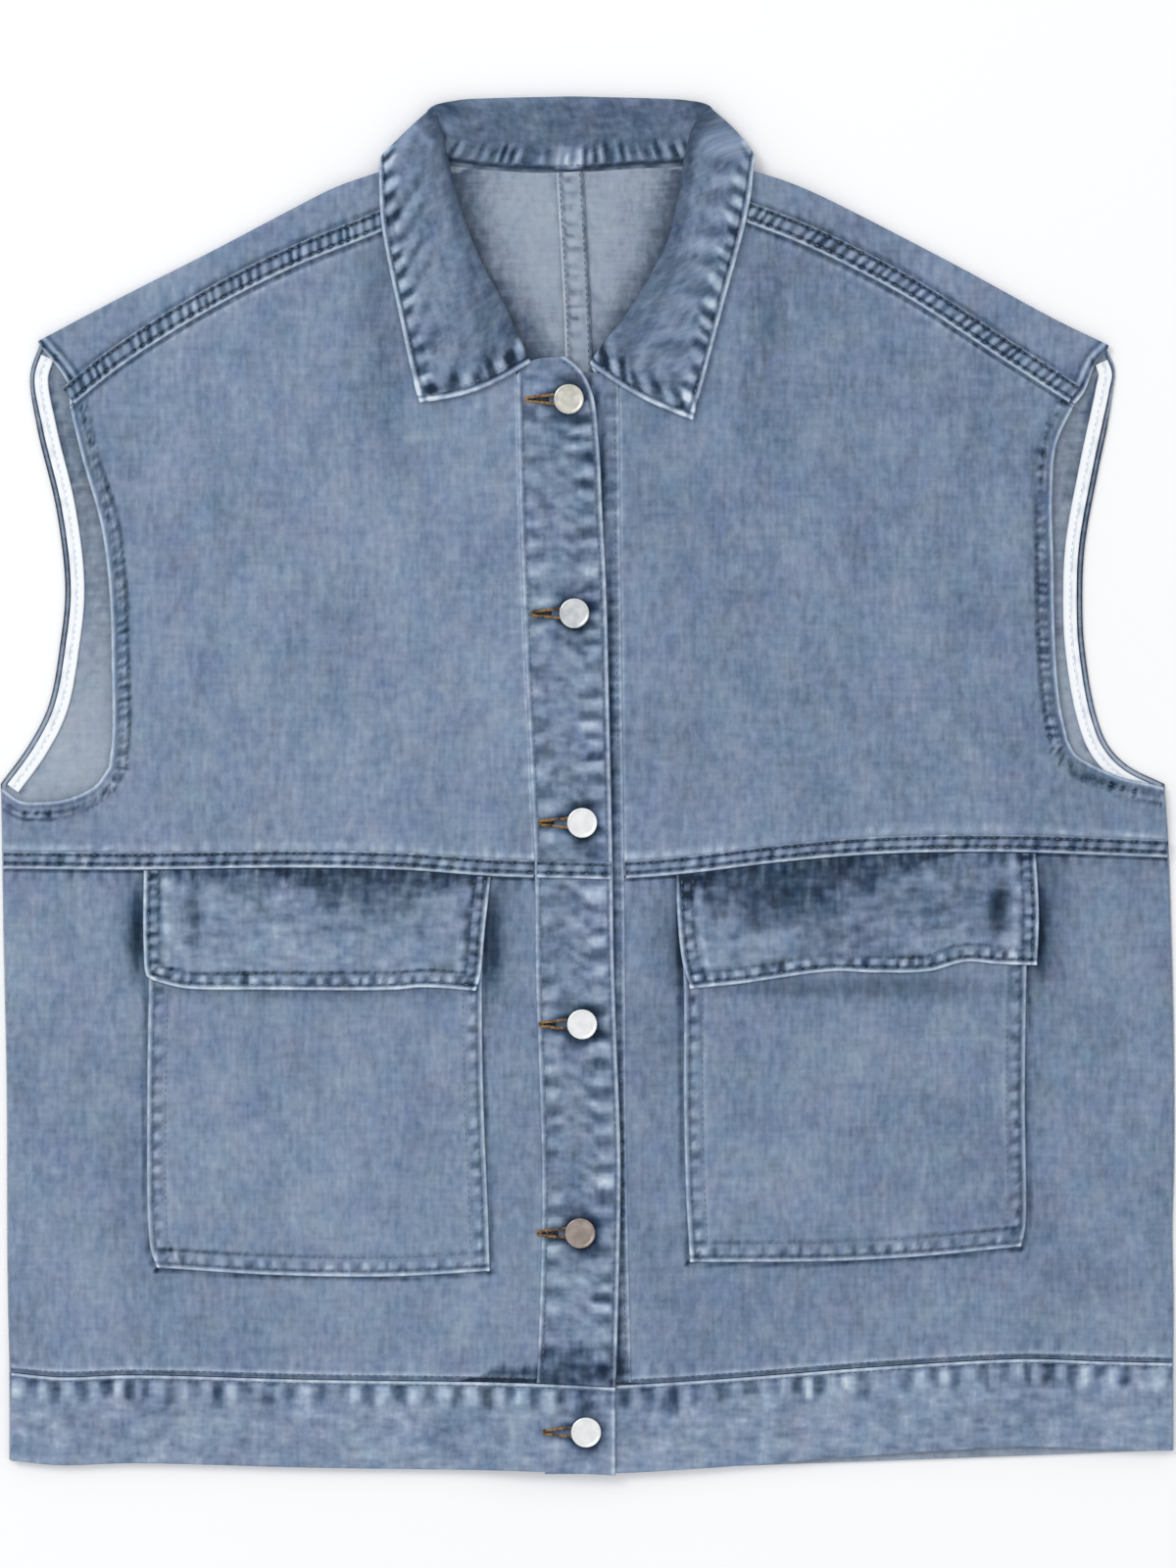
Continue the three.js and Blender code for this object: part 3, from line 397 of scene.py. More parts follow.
FRONT_EDGE = through([(14.3, -306.5), (15.8, -252), (16.7, -190), (14.5, -127), (13.2, -86), (12.5, -37),
                      (11, 33), (9.3, 103), (7.5, 138), (5.8, 173), (3, 198), (-2.1, 210.2), (-7.3, 216),
                      (-11.7, 219)])
PLACKET_LINE = through([(-26, -304.5), (-24, -250), (-23.3, -200), (-25, -140), (-26.4, -100), (-27, -45),
                        (-28.8, 0), (-32, 68), (-35.1, 156), (-36.3, 210)])
PLACKET_TOP = through([(-36.3, 210), (-32, 215), (-26, 217.8), (-11.7, 219)])
UNDER_SEAM = through([(22, -304.5), (19.8, -200), (18.6, -60), (17.2, 60), (15.6, 212)])
# Where the rolled collar shades the inside of the back
ROLL_SHADE = {
    Side.RIGHT: through([(-66, 312), (-56, 268), (-45, 246), (-24, 214)]),
    Side.LEFT: through([(50, 312), (36, 262), (22, 240), (4, 214)]),
}
POCKET_MIDDLE = 137
WAIST_END = {Side.RIGHT: (-44.8, -45.2, -27.8), Side.LEFT: (-46.3, -46.5, 19.4)}
POCKETS = {
    Side.RIGHT: {
        "flap_outer": [(-226.7, -43.5), (-226.7, -81.5), (-225.2, -97), (-222, -99)],
        "flap_bottom": [
            (-222, -99), (-216.5, -100.8), (-205.5, -103.3), (-162, -104), (-99.5, -104), (-84, -102.8),
            (-57.2, -104.5)],
        "flap_inner": [(-49.5, -46.8), (-52.5, -73.5), (-55, -98), (-57.2, -104.5)],
        "pocket_outer": [(-224.2, -57), (-224.2, -104), (-225, -159.5), (-223.5, -235), (-220, -245.8)],
        "pocket_bottom": [(-220, -245.8), (-162, -249.5), (-99.5, -250.3), (-50, -247.5)],
        "pocket_inner": [(-53.5, -60), (-54, -106.5), (-53.3, -159.5), (-51, -214.5), (-50, -247.5)],
    },
    Side.LEFT: {
        "flap_outer": [(228.5, -36.5), (230, -66), (229.4, -85), (229, -91.5)],
        "flap_bottom": [
            (229, -91.5), (209.5, -91), (192.5, -89.8), (173.8, -94.6), (147, -95.3), (123.8, -94.7),
            (77, -101), (52, -103.5)],
        "flap_inner": [(45, -46.7), (45.5, -66), (48, -89.5), (52, -103.5)],
        "pocket_outer": [(225, -49), (223.8, -94), (223, -159.5), (223.2, -225), (221, -235)],
        "pocket_bottom": [(221, -235), (170.5, -240), (123.8, -242.5), (52, -243)],
        "pocket_inner": [(47.5, -60), (48.8, -104), (48.8, -159.5), (50, -210), (52, -243)],
    },
}
EDGES = {side: {name: through(rows) for table in (OUTLINE, POCKETS) for name, rows in table[side].items()}
         for side in Side}

# Soft swells: x, y, half length, half width, turn in degrees, height
SWELLS = [
    (-165, 95, 110, 42, 78, 1.0),
    (150, 100, 115, 40, 101, 1.1),
    (-232, -20, 55, 16, 28, 0.7),
    (236, -12, 55, 16, 152, 0.7),
    (-140, 215, 70, 22, 32, 0.8),
    (128, 212, 70, 22, 150, 0.8),
    (-262, -190, 85, 20, 92, 0.6),
    (262, -185, 90, 20, 88, 0.6),
]
# Soft creases in the same columns: ridges are positive and troughs negative
CREASES = [
    (-214, 30, 46, 7, 58, 0.45),
    (-226, 4, 38, 6, 24, -0.4),
    (214, 40, 50, 7, 118, 0.5),
    (222, 2, 40, 6, 160, -0.45),
    (-190, 150, 60, 8, 105, 0.35),
    (186, 128, 66, 8, 82, -0.35),
    (-110, 60, 80, 10, 88, -0.3),
    (96, 36, 85, 11, 96, 0.35),
    (-128, -20, 70, 6, 3, 0.4),
    (140, -14, 76, 6, 178, 0.4),
    (-140, -275, 90, 7, 1, -0.35),
    (150, -270, 96, 8, 179, 0.4),
    (-262, -240, 40, 6, 70, -0.3),
    (266, -120, 50, 6, 96, 0.35),
    (-212, 196, 40, 6, 38, -0.4),
    (205, 196, 40, 6, 144, -0.4),
]


class Ground:
    """Heights in mm at which the undersides of the laid layers lie."""

    @staticmethod
    def _soft(rows: Rows, x: Array, y: Array) -> Array:
        """Adds up soft swells or creases.

        Args:
            rows: their table.
            x: places in mm.
            y: places in mm.

        Returns:
            The height at each place.
        """
        height = np.zeros(np.shape(x))
        for cx, cy, half_length, half_width, turn, rise in rows:
            c, s = math.cos(math.radians(turn)), math.sin(math.radians(turn))
            along = ((x - cx) * c + (y - cy) * s) / half_length
            bend = 0.35 * np.sin(2.1 * along + cx)
            across = (-(x - cx) * s + (y - cy) * c) / half_width + bend * (abs(rise) < 0.55)
            height += rise * np.exp(-along ** 2 - across ** 2)
        return height

    @staticmethod
    def back(x: Array, y: Array) -> Array:
        """Returns: the underside of the back, which rides over the collar's fall at the neck."""
        return NECK_LIFT * ramp(y, 262, 299) * ramp(x, -185, -109) * (1 - ramp(x, 87, 163))

    @classmethod
    def front(cls, x: Array, y: Array) -> Array:
        """Returns: the underside of a front, which rolls down to the back at the sides."""
        edge = 299 - np.abs(x)
        deepest = HEM_DROP + (SIDE_DROP - HEM_DROP) * ramp(y, -290, -260)
        drop = deepest * (1 - ramp(edge, 1, 9)) * (1 - ramp(y, -30, -14))
        centre = CENTRE_RISE * (1 - ramp(np.abs(x), 30, 90))
        soft = (cls._soft(SWELLS, x, y) + cls._soft(CREASES, x, y)) * ramp(edge, 0, 30)
        return cls.back(x, y) + FRONT_CLEARANCE + centre + soft - drop

    @classmethod
    def over(cls, x: Array, y: Array) -> Array:
        """Returns: the underside of the right front, which climbs onto the left placket."""
        return cls.front(x, y) + OVERLAP_RISE * ramp(x, -64, -25)

    @classmethod
    def of(cls, side: Side) -> Height:
        """Returns: the floor of the front on one side."""
        return cls.over if side is Side.RIGHT else cls.front


class Wave:
    """An uneven row of ridges (1) and valleys (-1) that doesn't repeat."""

    def __init__(self, pitch: float, seed: int, span: float = 760.0) -> None:
        """Sets out the ridges.

        Args:
            pitch: the usual distance between two ridges in mm.
            seed: picks the row.
            span: how far the row runs in mm.
        """
        rng = np.random.default_rng(seed)
        count = int(2.6 * span / pitch)
        self.places = np.cumsum(rng.uniform(0.3, 0.75, count)) * pitch - 0.1 * span
        self.values = np.resize([1.0, -1.0], count) * rng.uniform(0.3, 1.0, count)

    def at(self, s: Array) -> Array:
        """Returns: the wave at distances s along the row."""
        k = np.clip(np.searchsorted(self.places, s) - 1, 0, len(self.places) - 2)
        t = ramp((s - self.places[k]) / (self.places[k + 1] - self.places[k]), 0.0, 1.0)
        return self.values[k] * (1 - t) + self.values[k + 1] * t


@dataclass(frozen=True)
class Pucker:
    """Gathers that a row of stitches draws into the cloth beside it.

    Attributes:
        line: the seam.
        start: how far from the seam they begin in mm.
        reach: how far from it they end, to its left if positive.
        pitch: distance between ridges in mm.
        depth: height of a ridge in mm.
        tone: how much paler the ridges are worn, and the valleys darker.
        bias: how much paler the whole band is.
        slant: how far the ridges lean per mm.
        seed: picks the ridges.
    """

    line: Line
    start: float
    reach: float
    pitch: float
    depth: float
    tone: float
    bias: float = 0.0
    slant: float = 0.0
    seed: int = 1

    def sample(self, x: Array, y: Array) -> tuple[Array, Array]:
        """Returns: height in mm and tone at places in plan."""
        along, across = self.line.locate(x, y, abs(self.reach) + 2)
        return self.shape(along, across * math.copysign(1.0, self.reach) - self.start)

    def shape(self, along: Array, away: Array) -> tuple[Array, Array]:
        """Shapes the gathers.

        Args:
            along: distances along the seam.
            away: distances from where the gathers begin.

        Returns:
            Height in mm and tone.
        """
        span = abs(self.reach) - self.start
        wave = Wave(self.pitch, self.seed).at(along - self.slant * away)
        length = span * (0.72 + 0.28 * Wave(self.pitch * 1.7, self.seed + 71).at(along))
        swell = 0.8 + 0.35 * Wave(self.pitch * 6, self.seed + 37).at(along)
        fade = ramp(away, -1.0, 0.6) * (1 - ramp(away / length, 0.55, 1.05)) * swell
        sharp = np.sign(wave) * np.abs(wave) ** 0.6
        return self.depth * wave * fade, (self.tone * sharp + self.bias) * fade


@dataclass(frozen=True)
class Band:
    """A pale or dark band beside a line, such as a worn edge, a painted shadow or painted shade in a groove.

    Attributes:
        line: the line.
        offset: middle of the band, to the line's left, in mm.
        width: half width in mm.
        tone: how much paler, or darker if negative.
        uneven: how much it varies along its run.
        rise: height of the ridge under it in mm.
        pitch: length of the variations in mm.
        seed: picks the variations.
    """

    line: Line
    offset: float
    width: float
    tone: float
    uneven: float = 0.3
    rise: float = 0.0
    pitch: float = 9.0
    seed: int = 1

    def sample(self, x: Array, y: Array) -> tuple[Array, Array]:
        """Returns: height in mm and tone at places in plan."""
        along, across = self.line.locate(x, y, abs(self.offset) + 3 * self.width)
        return self.shape(along, across - self.offset)

    def shape(self, along: Array, away: Array) -> tuple[Array, Array]:
        """Returns: height and tone at distances along the line and from the band's middle."""
        bell = np.exp(-np.clip(away / self.width, -9, 9) ** 2)
        vary = 1 + self.uneven * Wave(self.pitch, self.seed + 500).at(along)
        return self.rise * bell, self.tone * bell * vary


def grooves(line: Line, *offsets: float, tone: float = -0.5) -> list[Band]:
    """Returns: rows of stitches pressed into the cloth, each darkened with painted shade, at offsets to the
    left of a line.
    """
    return [Band(line, offset, 0.75, tone, 0.55, -0.1, 5.0, int(abs(offset) * 10)) for offset in offsets]


@dataclass(frozen=True)
class Patch:
    """A soft pale or dark patch in the cloth's colour, used for wear and for painted shade and shadow: its
    middle, half sizes in mm and tone.
    """

    x: float
    y: float
    half_x: float
    half_y: float
    tone: float

    def sample(self, x: Array, y: Array) -> tuple[Array, Array]:
        """Returns: no height, and the tone at places in plan."""
        away = ((x - self.x) / self.half_x) ** 2 + ((y - self.y) / self.half_y) ** 2
        return np.zeros(np.shape(x)), self.tone * np.exp(-away)


@dataclass(frozen=True)
class Stain:
    """Unwashed cloth beside a seam, with an uneven lower edge.

    Attributes:
        line: the seam.
        start: where it is deepest, in mm along the seam.
        spread: half its length in mm.
        reach: how far it goes from the seam in mm, to the left if positive.
        tone: how much paler, or darker if negative.
        seed: picks its edge.
    """

    line: Line
    start: float
    spread: float
    reach: float
    tone: float
    seed: int = 1

    def sample(self, x: Array, y: Array) -> tuple[Array, Array]:
        """Returns: no height, and the tone at places in plan."""
        along, across = self.line.locate(x, y, 2 * abs(self.reach) + 2)
        away = across * math.copysign(1.0, self.reach)
        swell = np.exp(-((along - self.start) / self.spread) ** 4)
        uneven = 1 + 0.3 * Wave(17, self.seed).at(along) + 0.16 * Wave(5, self.seed + 9).at(along)
        end = abs(self.reach) * swell * uneven + 0.01
        fade = (1 - ramp(away / end, 0.55, 1.15)) * (away > -3)
        return np.zeros(np.shape(x)), self.tone * fade * (0.85 + 0.25 * Wave(7, self.seed + 5).at(along))


Detail = Pucker | Band | Patch | Stain


@dataclass(frozen=True)
class Net:
    """A grid of points through the middle of a cloth.

    Attributes:
        points: rows by columns by x, y and z, in mm.
        normals: which way the up side faces at each point.
        borders: the free edges, as runs of points.
    """

    points: Array
    normals: Array
    borders: tuple[Array, ...]

    def facing(self, side: Side) -> "Net":
        """Returns: the net with its columns towards +X, where those of a left piece run towards -X."""
        return self if side is Side.RIGHT else Net(self.points[:, ::-1], self.normals, self.borders)


@dataclass(frozen=True)
class Quad:
    """Four lines that bound a net.

    Attributes:
        first: the lower line, towards +X.
        second: the upper line, towards +X.
        start: the line at -X, towards +Y.
        end: the line at +X, towards +Y.
        free: the free edges, each a name and the shares between which it is free.
    """

    first: Line
    second: Line
    start: Line
    end: Line
    free: tuple[tuple[str, float, float], ...] = (
        ("first", 0, 1), ("second", 0, 1), ("start", 0, 1), ("end", 0, 1))

    def plan(self, columns: Array, rows: Array) -> Array:
        """Fills the four lines.

        Args:
            columns: shares along first and second.
            rows: shares along start and end.

        Returns:
            A grid of places in plan.
        """
        s, t = columns[None, :, None], rows[:, None, None]
        first, second = self.first.at(columns)[None], self.second.at(columns)[None]
        start, end = self.start.at(rows)[:, None], self.end.at(rows)[:, None]
        low = (1 - s) * first[:, :1] + s * first[:, -1:]
        high = (1 - s) * second[:, :1] + s * second[:, -1:]
        return (1 - t) * first + t * second + (1 - s) * start + s * end - (1 - t) * low - t * high

    def net(self, floor: Height, thickness: float, columns: Array, rows: Array) -> Net:
        """Lays the filled grid down.

        Args:
            floor: height of the underside.
            thickness: of the cloth in mm.
            columns: shares along first and second.
            rows: shares along start and end.

        Returns:
            The net.
        """
        plan = self.plan(columns, rows)
        z = floor(plan[..., 0], plan[..., 1]) + thickness / 2
        points = np.concatenate([plan, z[..., None]], axis=-1)
        normals = np.zeros_like(points)
        normals[..., 2] = 1.0
        sides = {"first": points[0], "second": points[-1], "start": points[:, 0], "end": points[:, -1]}
        shares = {"first": columns, "second": columns, "start": rows, "end": rows}
        borders = []
        for name, low, high in self.free:
            keep = (shares[name] >= low - 1e-6) & (shares[name] <= high + 1e-6)
            borders.append(sides[name][keep])
        return Net(points, normals, tuple(borders))


def between(low: Line, high: Line) -> Quad:
    """Returns: the quad between two lines, closed by straight ends."""
    return Quad(low, high, *(straight(low.points[k], high.points[k]) for k in (0, -1)))


def edge_distance(points: Array, borders: Iterable[Array]) -> Array:
    """Measures how far points lie from the nearest free edge.

    Args:
        points: places in mm, one in each row.
        borders: the free edges as runs of points.

    Returns:
        The distances in mm.
    """
    best = np.full(len(points), FAR)
    for border in borders:
        low, high = border.min(axis=0) - 4, border.max(axis=0) + 4
        near = np.flatnonzero(((points > low) & (points < high)).all(axis=1))
        if near.size == 0:
            continue
        a, b = border[:-1], border[1:]
        run = b - a
        squared = (run ** 2).sum(axis=1) + 1e-12
        for chunk in np.array_split(near, near.size * len(a) // 1_500_000 + 1):
            away = points[chunk, None] - a[None]
            t = np.clip((away * run[None]).sum(axis=-1) / squared, 0.0, 1.0)
            gap = np.linalg.norm(away - t[..., None] * run[None], axis=-1).min(axis=1)
            best[chunk] = np.minimum(best[chunk], gap)
    return best


def to_linear(value: float) -> float:
    """Returns: a display value from 0 to 255 as a linear share."""
    share = value / 255
    return share / 12.92 if share <= 0.04045 else ((share + 0.055) / 1.055) ** 2.4


class Graph:
    """Writes one material's node tree."""

    def __init__(self, name: str) -> None:
        """Starts an empty material with a shader and an output.

        Args:
            name: the material's name.
        """
        self.material = bpy.data.materials.new(name)
        self.material.use_nodes = True
        self.tree = self.material.node_tree
        self.tree.nodes.clear()
        self.shader = self.node("ShaderNodeBsdfPrincipled")
        self.node("ShaderNodeOutputMaterial", {"Surface": self.shader.outputs["BSDF"]})
        self.coordinates = self.node("ShaderNodeTexCoord")

    def fill(self, node: bpy.types.Node, inputs: Inputs) -> None:
        """Gives a node's inputs numbers, or links sockets to them.

        Args:
            node: the node.
            inputs: numbers or sockets by the input's name or number.
        """
        for key, value in inputs.items():
            if isinstance(value, bpy.types.NodeSocket):
                self.tree.links.new(value, node.inputs[key])
            else:
                node.inputs[key].default_value = value

    def node(self, kind: str, inputs: Inputs = MappingProxyType({}), **settings: object) -> bpy.types.Node:
        """Returns: a new node with its options set and its inputs filled."""
        made = self.tree.nodes.new(kind)
        for key, value in settings.items():
            setattr(made, key, value)
        self.fill(made, inputs)
        return made

    def place(self, scale: Sequence[float], turn: float = 0.0, by_uv: bool = False) -> bpy.types.NodeSocket:
        """Scales and turns the cloth's coordinates.

        Args:
            scale: cycles per mm along X, Y and Z.
            turn: degrees about Z.
            by_uv: whether they are the piece's own UV and not the object's.

        Returns:
            The coordinate socket.
        """
        vector = self.coordinates.outputs["UV" if by_uv else "Object"]
        inputs = {"Rotation": (0, 0, math.radians(turn)), "Scale": [s / MM for s in scale], "Vector": vector}
        return self.node("ShaderNodeMapping", inputs).outputs["Vector"]

    def noise(self, scale: Sequence[float], detail: float = 2.0, by_uv: bool = False) -> bpy.types.NodeSocket:
        """Returns: noise from 0 to 1 with the given cycles per mm."""
        inputs = {"Scale": 1.0, "Detail": detail, "Vector": self.place(scale, by_uv=by_uv)}
        return self.node("ShaderNodeTexNoise", inputs).outputs[0]

    def wave(self, pitch: float, turn: float, by_uv: bool = False) -> bpy.types.NodeSocket:
        """Returns: straight bands with a pitch in mm, turned by degrees."""
        inputs = {"Scale": 2 * math.pi / 20, "Distortion": 1.5, "Detail Scale": 0.6,
                  "Vector": self.place([1 / pitch] * 3, turn, by_uv)}
        return self.node("ShaderNodeTexWave", inputs, bands_direction="X").outputs[1]

    def add(self, a: object, b: object, operation: str = "ADD") -> bpy.types.NodeSocket:
        """Returns: the result of a sum or another operation on sockets or numbers."""
        return self.node("ShaderNodeMath", {0: a, 1: b}, operation=operation).outputs[0]

    def scaled(self, source: bpy.types.NodeSocket, amount: float) -> bpy.types.NodeSocket:
        """Returns: a value from 0 to 1 made to swing about 0 by an amount."""
        return self.add(self.add(source, -0.5), 2 * amount, "MULTIPLY")

    def ramp(self, factor: bpy.types.NodeSocket, stops: Stops) -> bpy.types.NodeSocket:
        """Colours a value.

        Args:
            factor: the value from 0 to 1.
            stops: places and colours from 0 to 255.

        Returns:
            The colour socket.
        """
        node = self.node("ShaderNodeValToRGB", {"Fac": factor})
        elements = node.color_ramp.elements
        while len(elements) < len(stops):
            elements.new(0.5)
        for element, (place, colour) in zip(elements, stops):
            element.position = place
            element.color = [*(to_linear(value) for value in colour), 1.0]
        return node.outputs["Color"]

    def bump(self, height: bpy.types.NodeSocket, distance: float) -> None:
        """Gives the shader a bump whose full height stands for a distance in mm."""
        bump = self.node("ShaderNodeBump", {"Distance": distance * MM, "Strength": 1.0, "Height": height})
        self.fill(self.shader, {"Normal": bump.outputs["Normal"]})


@dataclass(frozen=True)
class ClothFinish:
    """Washed cotton: a tone stored on the mesh, mottled and slubbed.

    Attributes:
        name: the material's name.
        stops: colours from the darkest valley to the palest ridge.
        grain: fine mottling.
        slub: uneven yarns along Y.
        streak: uneven yarns along X.
        blotch: large patches.
        mottle: small patches where two plies rub.
        twill: height of the twill in mm.
        by_uv: whether the grain follows the piece's own UV.
    """

    name: str
    stops: Stops
    grain: float = 0.13
    slub: float = 0.085
    streak: float = 0.05
    blotch: float = 0.105
    mottle: float = 0.0
    twill: float = 0.05
    by_uv: bool = False

    def make(self) -> bpy.types.Material:
        """Returns: the material."""
        graph = Graph(self.name)
        swing = lambda scale, detail, amount: graph.scaled(graph.noise(scale, detail, self.by_uv), amount)
        layers = [
            ((0.3, 0.2, 0.3), 1.4, self.grain),
            ((0.5, 0.07, 0.3), 1.2, self.slub),
            ((0.06, 0.5, 0.3), 1.2, self.streak),
            ((0.09, 0.06, 0.1), 2.0, self.blotch * 0.8),
            ((0.02, 0.013, 0.02), 2.0, self.blotch),
            ((0.11, 0.2, 0.1), 1.5, self.mottle),
        ]
        tone = graph.node("ShaderNodeAttribute", attribute_name="tone").outputs["Fac"]
        factor = graph.add(graph.add(tone, 0.5, "MULTIPLY"), 0.5)
        for layer in layers:
            if layer[-1]:
                factor = graph.add(factor, swing(*layer))
        twill = graph.wave(0.85, 62, self.by_uv)
        factor = graph.add(factor, graph.scaled(twill, 0.012))
        tint = graph.node("ShaderNodeHueSaturation", {
            "Color": graph.ramp(factor, self.stops),
            "Hue": graph.add(swing((0.04, 0.05, 0.06), 2.0, 0.024), 0.5),
            "Saturation": graph.add(swing((0.1, 0.07, 0.1), 2.0, 0.3), 1.0),
        })
        graph.fill(graph.shader, {"Base Color": tint.outputs["Color"], "Roughness": 0.92,
                                  "Specular IOR Level": 0.25, "Sheen Weight": 0.05})
        fuzz = graph.noise((2.2, 1.6, 2.0), 3.0, self.by_uv)
        graph.bump(graph.add(twill, graph.add(fuzz, 1.4, "MULTIPLY")), self.twill)
        return graph.material


@dataclass(frozen=True)
class ThreadFinish:
    """Spun thread: its name, its colours, and how often they change per mm."""

    name: str
    stops: Stops
    cycles: float = 0.25

    def make(self) -> bpy.types.Material:
        """Returns: the material."""
        graph = Graph(self.name)
        colour = graph.ramp(graph.noise([self.cycles] * 3), self.stops)
        graph.fill(graph.shader, {"Base Color": colour, "Roughness": 0.8})
        graph.bump(graph.wave(0.35, 35), 0.05)
        return graph.material


@dataclass(frozen=True)
class MetalFinish:
    """Nickel whose colours are a painted reflection: its name, a paler and a duller colour that it mottles
    between, and its roughness.
    """

    name: str
    pale: Colour
    dull: Colour
    roughness: float = 0.34

    def make(self) -> bpy.types.Material:
        """Returns: the material."""
        graph = Graph(self.name)
        colour = graph.ramp(graph.noise([0.22] * 3, 3.0), ((0.36, self.pale), (0.64, self.dull)))
        rough = graph.add(graph.scaled(graph.noise([0.8] * 3), 0.08), self.roughness)
        graph.fill(graph.shader, {"Base Color": colour, "Metallic": 0.9, "Roughness": rough})
        graph.bump(graph.noise([1.5] * 3), 0.02)
        return graph.material


OUTSIDE_STOPS = (
    (0.0, (24, 40, 60)),
    (0.18, (54, 72, 94)),
    (0.36, (92, 109, 132)),
    (0.5, (119, 136, 161)),
    (0.63, (140, 156, 178)),
    (0.8, (172, 188, 206)),
    (1.0, (210, 221, 232)),
)
INSIDE_STOPS = (
    (0.0, (40, 54, 74)),
    (0.25, (88, 102, 122)),
    (0.5, (147, 159, 175)),
    (0.75, (170, 181, 194)),
    (1.0, (212, 219, 226)),
)


class Finish(Enum):
    """Everything that the vest's pieces are made of."""

    DENIM = ClothFinish("denim_outside", OUTSIDE_STOPS)
    COLLAR = ClothFinish("denim_collar", OUTSIDE_STOPS, slub=0.04, streak=0.03, mottle=0.16, by_uv=True)
    INSIDE = ClothFinish("washed_inside", INSIDE_STOPS, grain=0.13, slub=0.04, streak=0.075)
    WORN = ClothFinish("denim_worn", OUTSIDE_STOPS, slub=0.07, mottle=0.24)
    TAPE = ClothFinish(
        "binding_tape", ((0.0, (170, 184, 200)), (0.5, (244, 247, 250)), (1.0, (252, 253, 254))),
        grain=0.08, slub=0.05, streak=0.0, blotch=0.04, twill=0.05)
    THREAD = ThreadFinish(
        "tonal_thread", ((0.3, (70, 80, 94)), (0.5, (98, 104, 112)), (0.7, (134, 136, 138))))
    TAPE_THREAD = ThreadFinish("pale_thread", ((0.3, (176, 190, 210)), (0.7, (214, 222, 232))))
    HOLE_THREAD = ThreadFinish("buttonhole_thread", (
        (0.32, (64, 54, 50)), (0.44, (120, 98, 62)), (0.54, (186, 132, 66)), (0.66, (140, 134, 92))), 0.4)
    # One nickel in four colours, each a painted reflection of what a button mirrors
    NICKEL = MetalFinish("nickel_bright_painted_reflection", (253, 253, 252), (240, 240, 240))
    NICKEL_SILVER_REFLECTION = MetalFinish("nickel_silver", (226, 228, 228), (196, 200, 202))
    NICKEL_BEIGE_REFLECTION = MetalFinish("nickel_beige", (228, 226, 216), (200, 197, 186))
    NICKEL_TAUPE_REFLECTION = MetalFinish("nickel_taupe", (178, 166, 158), (150, 138, 130), 0.42)

    def made(self) -> bpy.types.Material:
        """Returns: the material, made the first time it is asked for."""
        return bpy.data.materials.get(self.value.name) or self.value.make()


# Materials of the up side and of the underside
WORN_OUT = (Finish.WORN, Finish.INSIDE)
INSIDE_OUT = (Finish.INSIDE, Finish.DENIM)


def publish(obj: bpy.types.Object, finishes: Sequence[Finish], slot: str, node: Optional[str]) -> None:
    """Hands a piece to the shared frame.

    Args:
        obj: the piece.
        finishes: its materials in order.
        slot: not used.
        node: the node that it replaces, if any.
    """
    for finish in finishes:
        obj.data.materials.append(finish.made())
    bpy.context.scene.collection.objects.link(obj)
    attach(obj, "root")
    if node:
        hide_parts(node)
    obj.data.calc_loop_triangles()
    LOG.info("%s: %d triangles", obj.name, len(obj.data.loop_triangles))


def smooth_object(bm: bmesh.types.BMesh, name: str, kind: str = "") -> bpy.types.Object:
    """Turns a bmesh into a smooth-shaded object.

    Args:
        bm: the bmesh, which is freed.
        name: the mesh's name.
        kind: what the object's name adds to it.

    Returns:
        The object.
    """
    for face in bm.faces:
        face.smooth = True
    mesh = bpy.data.meshes.new(name)
    bm.to_mesh(mesh)
    bm.free()
    return bpy.data.objects.new(name + kind, mesh)


